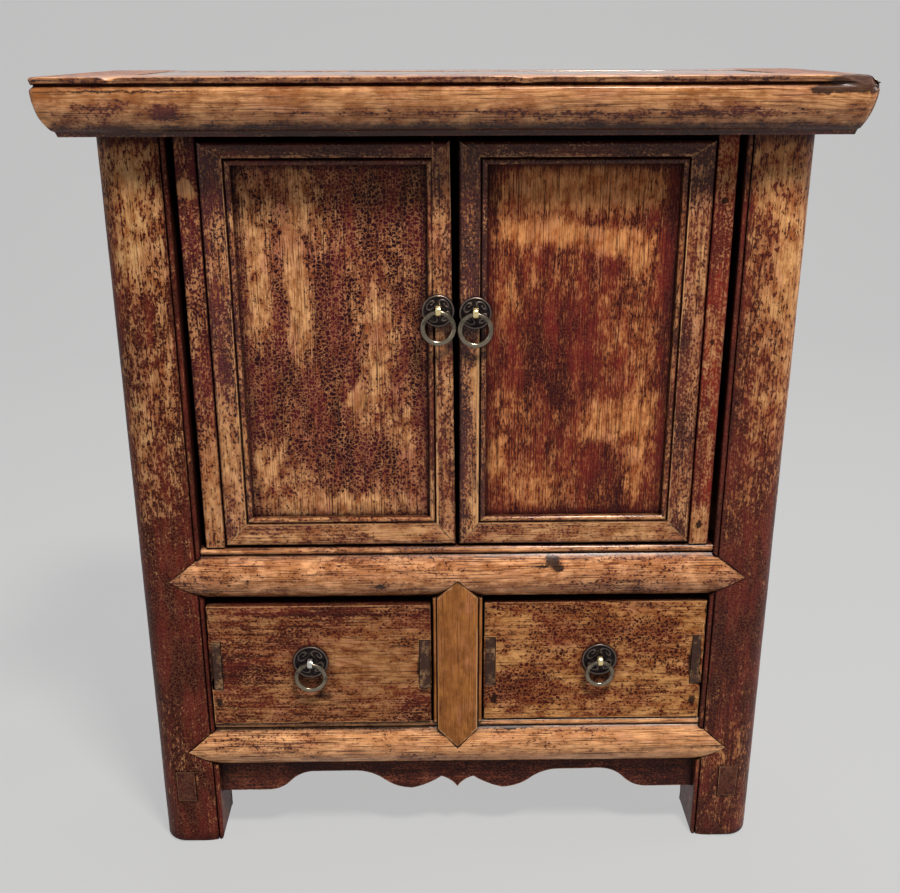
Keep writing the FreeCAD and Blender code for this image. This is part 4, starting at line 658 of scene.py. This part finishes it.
aged("top_front_rail", "carcase", top_finish, arris=0.0010, dents=0.0022, grid=0.006,
     rubs=CORNER_RUBS, seed=14, joint=in_mitre, cuts=corner_cuts, shape=round_corners)
for side in ("left", "right"):
    aged(f"top_{side}_end", "carcase", top_end_finish, arris=0.0010, dents=0.0018, grid=0.007,
         rubs=CORNER_RUBS, seed=14, joint=in_mitre, cuts=corner_cuts, shape=round_corners)
aged("top_rear_rail", "carcase", top_board_finish, arris=0.0012, dents=0.0012, grid=0.014,
     seed=15)
aged("top_panel", "carcase", top_board_finish, arris=0.0006, uneven=0.0005, grid=0.014, seed=16)

# Doors: each leaf is a mitred frame with a bead round a floating panel, fixed to a full-height batten
# whose ends turn in the sill and the top. Their maroon lacquer is crazed like crocodile skin and has
# flaked to the ochre wood where hands and sun reach it.
left_panel_finish = old_lacquer(
    "left_panel_lacquer", seed=20.0, pale=(220, 164, 112), deep=(154, 96, 54), coat=(84, 25, 32),
    coat_deep=(36, 11, 18), left=0.55, flake=0.95, net=0.30, speckle=2.3, bloom=0.75, rings=0.08,
    fibre=0.85, cell=235.0, patches=[
        ((-0.185, 0.745), (0.060, 0.050), -0.25), ((-0.070, 0.755), (0.062, 0.050), 0.54),
        ((-0.200, 0.670), (0.014, 0.075), -0.37), ((-0.163, 0.655), (0.013, 0.085), -0.42),
        ((-0.180, 0.640), (0.008, 0.050), 0.30), ((-0.130, 0.655), (0.016, 0.045), 0.48),
        ((-0.130, 0.575), (0.020, 0.070), 0.74), ((-0.185, 0.560), (0.045, 0.055), 0.38),
        ((-0.080, 0.600), (0.020, 0.080), -0.30), ((-0.106, 0.548), (0.011, 0.013), -1.10),
        ((-0.110, 0.486), (0.050, 0.028), 0.54), ((-0.195, 0.465), (0.045, 0.030), -0.25),
        ((-0.125, 0.426), (0.090, 0.020), -0.39), ((-0.058, 0.515), (0.016, 0.044), -0.30),
        ((-0.042, 0.540), (0.007, 0.040), 0.54), ((-0.222, 0.600), (0.006, 0.200), 0.42),
        ((-0.033, 0.640), (0.005, 0.150), 0.42)])
right_panel_finish = old_lacquer(
    "right_panel_lacquer", seed=21.0, pale=(212, 145, 91), deep=(160, 90, 46), coat=(104, 31, 29),
    coat_deep=(48, 14, 17), flecks=(760.0, 150.0), soft=0.13, bloom=0.5, left=0.55, rings=0.06,
    fibre=0.8, speckle=2.2, glaze=0.7, patches=[
        ((0.130, 0.765), (0.090, 0.030), -0.40), ((0.085, 0.722), (0.050, 0.013), -0.46),
        ((0.155, 0.712), (0.050, 0.015), -0.50), ((0.185, 0.690), (0.018, 0.018), -0.40),
        ((0.052, 0.640), (0.016, 0.034), -0.22), ((0.165, 0.524), (0.052, 0.026), -0.34),
        ((0.190, 0.474), (0.012, 0.048), -0.36), ((0.042, 0.484), (0.012, 0.030), -0.28),
        ((0.092, 0.448), (0.040, 0.030), -0.24), ((0.145, 0.455), (0.018, 0.028), 0.12),
        ((0.130, 0.416), (0.100, 0.008), 0.26), ((0.100, 0.600), (0.060, 0.060), 0.22),
        ((0.214, 0.620), (0.008, 0.200), 0.22)])
frame_finishes = {
    "left_outer": dict(left=0.56, net=0.3, coat=(84, 26, 32), coat_deep=(40, 13, 18), patches=[
        ((-0.238, 0.760), (0.020, 0.060), 0.16), ((-0.235, 0.500), (0.020, 0.120), -0.18)]),
    "left_meeting": dict(left=0.52, fibre=0.8, patches=[((-0.004, 0.700), (0.004, 0.080), 0.25)]),
    "right_meeting": dict(left=0.60, coat=(76, 34, 34), coat_deep=(44, 20, 24), fibre=0.8, patches=[
        ((0.006, 0.520), (0.006, 0.080), 0.20), ((0.020, 0.560), (0.006, 0.050), -0.35),
        ((0.018, 0.450), (0.008, 0.060), -0.25)]),
    "right_outer": dict(left=0.44, fibre=0.8, patches=[
        ((0.240, 0.780), (0.020, 0.040), 0.20), ((0.232, 0.590), (0.008, 0.120), 0.18)]),
    "left_bottom": dict(left=0.36, fibre=0.8, patches=[((-0.060, 0.400), (0.040, 0.010), -0.20)]),
    # The top rails keep the most lacquer, so they are darker: old lacquer and painted shade under the
    # overhang of the top.
    "left_top": dict(left=0.84),
    "right_bottom": dict(left=0.38, fibre=0.8, patches=[((0.210, 0.398), (0.040, 0.010), -0.15)]),
    "right_top": dict(left=0.86),
}
batten_finishes = {
    "left": dict(left=0.60, net=0.3, coat=(84, 26, 32), coat_deep=(40, 13, 18), patches=[
        ((-0.262, 0.440), (0.020, 0.070), -0.36), ((-0.266, 0.766), (0.009, 0.009), -0.80),
        ((-0.262, 0.560), (0.016, 0.060), -0.06)]),
    "right": dict(left=0.58, coat=(122, 34, 28), coat_deep=(78, 24, 24), patches=[
        ((0.262, 0.400), (0.016, 0.026), -0.42), ((0.263, 0.775), (0.014, 0.035), -0.15)],
        stains=[((0.263, 0.752), (0.0035, 0.0035), 1.0), ((0.262, 0.406), (0.003, 0.006), 1.0),
                ((0.262, 0.610), (0.002, 0.003), 1.0)]),
}
door_seed = 30.0
for side in ("left", "right"):
    door = f"{side}_door"
    for member in ("outer", "meeting", "bottom", "top"):
        kind = "stile" if member in ("outer", "meeting") else "rail"
        door_seed += 1
        member_finish = old_lacquer(f"{door}_{member}_{kind}_lacquer", grain="Z" if kind == "stile" else "X",
                                    seed=door_seed, pale=(212, 159, 107), deep=(158, 102, 52), shine=0.34,
                                    wear=0.5, gloss=0.5, mirror=0.15, **frame_finishes[f"{side}_{member}"])
        aged(f"{door}_{member}_{kind}", door, member_finish, arris=0.0006, uneven=0.0003,
             dents=0.0008, grid=0.007, seed=door_seed)
    batten_finish = old_lacquer(f"{door}_batten_lacquer", seed=door_seed + 40, pale=(206, 153, 105),
                                deep=(156, 100, 56), **batten_finishes[side])
    aged(f"{door}_pivot_batten", door, batten_finish, arris=0.0008, dents=0.0016, grid=0.007,
         seed=door_seed + 5)
for side, panel_finish, seed in (("left", left_panel_finish, 40), ("right", right_panel_finish, 41)):
    aged(f"{side}_door_panel", f"{side}_door", panel_finish, uneven=0.0006,
         grid=0.009, seed=seed)

# Drawers: a plain board in front with its grain lying across, the sides tenoned right through it so that
# their dark end grain shows near both ends, and a bare back and bottom.
left_drawer_finish = old_lacquer(
    "left_drawer_lacquer", grain="X", seed=50.0, pale=(184, 133, 87), deep=(132, 80, 40), left=0.42, net=0.2,
    rings=0.5, fibre=0.7, glaze=0.4, patches=[
        ((-0.245, 0.235), (0.035, 0.080), 0.14), ((-0.190, 0.275), (0.030, 0.016), 0.16),
        ((-0.080, 0.245), (0.060, 0.055), -0.10), ((-0.050, 0.180), (0.020, 0.020), 0.18),
        ((-0.160, 0.304), (0.120, 0.004), 0.40)],
    stains=[((-0.152, 0.199), (0.014, 0.009), 0.50), ((-0.038, 0.232), (0.009, 0.034), 0.9),
            ((-0.272, 0.238), (0.010, 0.034), 0.75), ((-0.272, 0.190), (0.005, 0.010), 0.6)])
right_drawer_finish = old_lacquer(
    "right_drawer_lacquer", grain="X", seed=51.0, pale=(206, 151, 93), deep=(152, 94, 44), left=0.36,
    net=0.7, flake=0.9, rings=0.35, cell=230.0, fibre=0.6, glaze=0.5, patches=[
        ((0.130, 0.275), (0.070, 0.022), 0.12), ((0.075, 0.205), (0.050, 0.026), 0.26),
        ((0.230, 0.250), (0.040, 0.060), 0.10), ((0.155, 0.272), (0.055, 0.016), 0.16),
        ((0.060, 0.270), (0.030, 0.030), -0.04), ((0.190, 0.190), (0.060, 0.016), 0.10)],
    stains=[((0.042, 0.190), (0.005, 0.008), 0.8), ((0.270, 0.186), (0.005, 0.008), 0.8),
            ((0.036, 0.236), (0.008, 0.030), 0.7), ((0.270, 0.238), (0.009, 0.032), 0.8)])
drawer_box_finish = old_lacquer(
    "drawer_box_wood", grain="Y", seed=52.0, pale=(158, 114, 72), deep=(112, 80, 50), left=-0.05, shine=0.6,
    rings=0.4, glaze=0.0, gloss=0.0, dark_front=0.92)
drawer_back_finish = old_lacquer(
    "drawer_back_wood", grain="X", seed=53.0, pale=(164, 118, 74), deep=(120, 84, 52), left=-0.05, shine=0.6,
    rings=0.4, glaze=0.0, gloss=0.0)
for side, front_finish in (("left", left_drawer_finish), ("right", right_drawer_finish)):
    drawer = f"{side}_drawer"
    aged(f"{drawer}_front", drawer, front_finish, arris=0.0010, dents=0.0016, grid=0.007,
         seed=50)
    aged(f"{drawer}_sides", drawer, drawer_box_finish, arris=0.0004, grid=0.014, seed=51)
    aged(f"{drawer}_back", drawer, drawer_back_finish, grid=0.016, seed=52)
    aged(f"{drawer}_bottom", drawer, drawer_back_finish, grid=0.02, seed=53)

# Pulls: a cast plate with a raised rim and a chased scroll, a strip bent to an eye and split behind the
# wood, of brass and on the left drawer of steel, and a loose ring of round wire. All are dark with age and
# bright where they rub, and the ring's lower front is lightened further as a painted highlight.


def old_metal(name, seed, dark, bright, rubbed, rough):
    """Aged metal: dark in its hollows, bright on what stands proud."""
    finish = Finish(name, seed)
    cloud = finish.mottle(finish.along("Y", 160.0, 160.0), detail=5.0, rough=0.65)
    fine = finish.mottle(finish.along("Y", 900.0, 900.0), detail=3.0, rough=0.6)
    proud = finish.add("ShaderNodeAttribute", attribute_name="arris").outputs["Fac"]
    shown = finish.sum(finish.times(proud, 0.9), finish.times(finish.sum(cloud, -0.5), 0.9),
                       finish.times(finish.sum(fine, -0.5), 0.35), rubbed - 0.5)
    share = finish.step(shown, -0.15, 0.45)
    colour = finish.blend(paint(dark), paint(bright), share)
    polish = finish.sum(rough, finish.times(share, -0.16), finish.times(finish.sum(fine, -0.5), 0.25))
    height = finish.sum(finish.times(cloud, 0.6), finish.times(fine, 0.4))
    bump = finish.add("ShaderNodeBump", {"Height": height, "Distance": 0.00025, "Strength": 0.7})
    shader = finish.add("ShaderNodeBsdfPrincipled", {"Base Color": colour, "Roughness": polish,
                                                     "Metallic": 0.9, "Normal": bump.outputs["Normal"]})
    finish.add("ShaderNodeOutputMaterial", {"Surface": shader.outputs["BSDF"]})
    return finish.material


def turned_piece(name, rings, closed, material, arris):
    """A mesh of rings of points, each joined to the next, with how proud each point stands."""
    count = len(rings[0])
    verts = [point for ring in rings for point in ring]
    faces = []
    for i in range(len(rings) if closed else len(rings) - 1):
        j = (i + 1) % len(rings)
        for k in range(count):
            m = (k + 1) % count
            faces.append((i * count + k, i * count + m, j * count + m, j * count + k))
    if not closed:
        faces.append(tuple(range(count))[::-1])
        faces.append(tuple((len(rings) - 1) * count + k for k in range(count)))
    mesh = bpy.data.meshes.new(name)
    mesh.from_pydata(verts, [], faces)
    mesh.update()
    mesh.attributes.new("arris", "FLOAT", "POINT").data.foreach_set("value", arris)
    mesh.shade_smooth()
    mesh.materials.append(material)
    piece = bpy.data.objects.new(name, mesh)
    bpy.context.scene.collection.objects.link(piece)
    return piece


PLATE_STEPS = 208
PLATE_RINGS = 58
RING_STEPS = 96
WIRE_STEPS = 20
SCROLLS = 4
SCROLL_MIDDLE = 0.60
SCROLL_BREADTH = 0.28
SCROLL_CURL = 8.0
plate_finish = old_metal("plate_bronze", 60.0, (30, 24, 26), (112, 98, 90), 0.28, 0.50)
ring_finish = old_metal("ring_bronze", 61.0, (38, 33, 28), (132, 121, 104), 0.42, 0.38)
brass_finish = old_metal("staple_brass", 62.0, (140, 116, 66), (236, 216, 160), 0.85, 0.34)
steel_finish = old_metal("staple_steel", 63.0, (96, 94, 90), (206, 204, 198), 0.75, 0.36)


def scroll_height(share, angle):
    """How far the chased scroll stands up at a share of the radius: curled leaves round the middle."""
    turn = angle * SCROLLS / (2 * math.pi)
    local = (turn - math.floor(turn) - 0.5) * 2
    out = (share - SCROLL_MIDDLE) / SCROLL_BREADTH
    reach = math.hypot(local * 0.9, out)
    swirl = math.atan2(out, local) + SCROLL_CURL * reach
    ridge = 0.5 + 0.5 * math.cos(swirl)
    inside = min(1.0, max(0.0, 1.15 - reach) * 3)
    return ridge ** 5 * inside


PLATE_HOLE = 0.0004
PLATE_CHAMFER = 0.0003
PLATE_RIM = 0.0022
PLATE_THIN = 0.0010
SCROLL_HEIGHT = 0.00055
DOME_HEIGHT = 0.0003


def plate_line(centre, radius, y):
    """A round line of points on the back of a plate."""
    return [(centre.x + radius * math.cos(2 * math.pi * k / PLATE_STEPS), y,
             centre.z + radius * math.sin(2 * math.pi * k / PLATE_STEPS)) for k in range(PLATE_STEPS)]


def pull_plate(name, body, material):
    """The plate that stands for a node, its back on the wood."""
    low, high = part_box(name)
    centre = (low + high) / 2
    radius = (high.x - low.x) / 2
    rim_height = high.y - low.y
    rings = [plate_line(centre, PLATE_HOLE, high.y), plate_line(centre, radius - PLATE_CHAMFER, high.y)]
    proud = [0.0] * (2 * PLATE_STEPS)
    for i in range(PLATE_RINGS):
        share = 1 - i / PLATE_RINGS
        r = radius * share
        inset = radius - r
        ring = []
        for k in range(PLATE_STEPS):
            angle = 2 * math.pi * k / PLATE_STEPS
            if inset < PLATE_RIM:
                crown = math.sin(math.pi * min(1.0, inset / PLATE_RIM)) ** 0.7
                height = PLATE_THIN + (rim_height - PLATE_THIN) * crown
                stands = 0.95 * math.sin(math.pi * inset / PLATE_RIM)
            else:
                scroll = scroll_height(share, angle)
                height = PLATE_THIN * 0.75 + SCROLL_HEIGHT * scroll + DOME_HEIGHT * max(0.0, 1 - share / 0.3)
                stands = 0.12 + 0.5 * scroll
            ring.append((centre.x + r * math.cos(angle), high.y - height, centre.z + r * math.sin(angle)))
            proud.append(stands)
        rings.append(ring)
    piece = turned_piece(f"{name}_chased", rings, False, material, proud)
    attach(piece, body)
    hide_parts(name)


RING_UNEVEN = 0.05
RING_BROAD = 1.22
RING_RUBBED = 0.24
FACETS = 8
FACET_DEPTH = 0.03


def pull_ring(name, body, material, seed):
    """The loose ring, a little uneven where it was forged, broad below and thinner where it hangs."""
    low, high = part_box(name)
    centre = (low + high) / 2
    wire = (high.y - low.y) / 2
    outer = (high.x - low.x) / 2
    rings, proud = [], []
    for i in range(RING_STEPS):
        angle = 2 * math.pi * i / RING_STEPS
        out = Vector((math.cos(angle), 0, math.sin(angle)))
        forged = 1 - RING_UNEVEN * (0.5 + 0.5 * noise.noise(out * 3.2 + Vector((seed, 0, 0))))
        thick = wire * forged
        broad = thick * (RING_BROAD - RING_RUBBED * max(0.0, math.sin(angle)) ** 6)
        ring = []
        for k in range(WIRE_STEPS):
            turn = 2 * math.pi * k / WIRE_STEPS
            facet = 1 - FACET_DEPTH * (0.5 + 0.5 * math.cos(FACETS * turn + 3 * angle))
            offset = out * math.cos(turn) * broad * facet + Vector((0, math.sin(turn) * thick * facet, 0))
            point = centre + out * (outer - broad) + offset
            ring.append(tuple(point))
            # The wire's lower front is lighter: rubbed metal and a painted highlight.
            proud.append(0.35 + 0.4 * max(0.0, -math.sin(angle)) * max(0.0, -math.sin(turn)))
        rings.append(ring)
    piece = turned_piece(f"{name}_forged", rings, True, material, proud)
    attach(piece, body)
    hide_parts(name)


EYE_RADIUS = 0.0055
EYE_STEPS = 24
STRIP = 0.0013
STRIP_STEPS = 12
STRIP_BACK = 0.0014
STRIP_APART = 0.55
EYE_MOUTH = 0.30
TAIL_STEPS = 7
TAIL_MIDDLE = 0.0007
TAIL_THICK = 0.00065


def strip_line(power):
    """The rounded section of the strip, as shares of its half width and half thickness."""
    turns = [2 * math.pi * k / STRIP_STEPS for k in range(STRIP_STEPS)]
    return [(math.copysign(abs(math.cos(turn)) ** power, math.cos(turn)),
             math.copysign(abs(math.sin(turn)) ** power, math.sin(turn)), turn) for turn in turns]


def pull_staple(name, body, material):
    """The split staple: a strip that leaves the wood, goes round the ring's wire and comes back."""
    low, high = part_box(name)
    middle_x = (low.x + high.x) / 2
    half = (high.x - low.x) / 2
    eye_y = low.y + EYE_RADIUS
    eye_z = (low.z + high.z) / 2
    back = high.y - STRIP_BACK
    mid = EYE_RADIUS - STRIP / 2
    route = [(back, eye_z + STRIP * STRIP_APART)]
    start = math.asin(EYE_MOUTH)
    for step in range(EYE_STEPS + 1):
        angle = start + (2 * math.pi - 2 * start) * step / EYE_STEPS
        route.append((eye_y + mid * math.cos(angle), eye_z + mid * math.sin(angle)))
    route.append((back, eye_z - STRIP * STRIP_APART))
    rings, proud = [], []
    for i, (y, z) in enumerate(route):
        before = Vector(route[max(0, i - 1)])
        after = Vector(route[min(len(route) - 1, i + 1)])
        run = (after - before).normalized()
        side = Vector((-run.y, run.x))
        ring = []
        for wide, deep, turn in strip_line(0.45):
            deep = deep * STRIP / 2
            ring.append((middle_x + wide * half * 0.98, y + side.x * deep, z + side.y * deep))
            proud.append(0.5 + 0.3 * abs(math.sin(turn)))
        rings.append(ring)
    piece = turned_piece(f"{name}_bent", rings, False, material, proud)
    tails = []
    for way in (-1, 1):
        tail = []
        for step in range(TAIL_STEPS + 1):
            z = eye_z + way * (0.0006 + (0.5 * (high.z - low.z) - 0.0008) * step / TAIL_STEPS)
            thick = TAIL_THICK * (1 - 0.5 * (step / TAIL_STEPS) ** 2)
            taper = 0.95 - 0.3 * step / TAIL_STEPS
            tail.append([(middle_x + wide * half * taper, high.y - TAIL_MIDDLE + way * (deep * thick), z)
                         for wide, deep, turn in strip_line(0.5)])
        tails.append(turned_piece(f"{name}_tail_{'low' if way < 0 else 'high'}", tail, False, material,
                                  [0.3] * (STRIP_STEPS * (TAIL_STEPS + 1))))
    for part in (piece, *tails):
        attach(part, body)
    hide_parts(name)


for number, body in enumerate(("left_door", "right_door", "left_drawer", "right_drawer")):
    steel = body == "left_drawer"
    pull_plate(f"{body}_pull_plate", body, plate_finish)
    pull_staple(f"{body}_pull_staple", body,
                steel_finish if steel else brass_finish)
    pull_ring(f"{body}_pull_ring", f"{body}_ring", ring_finish, number * 4.7)
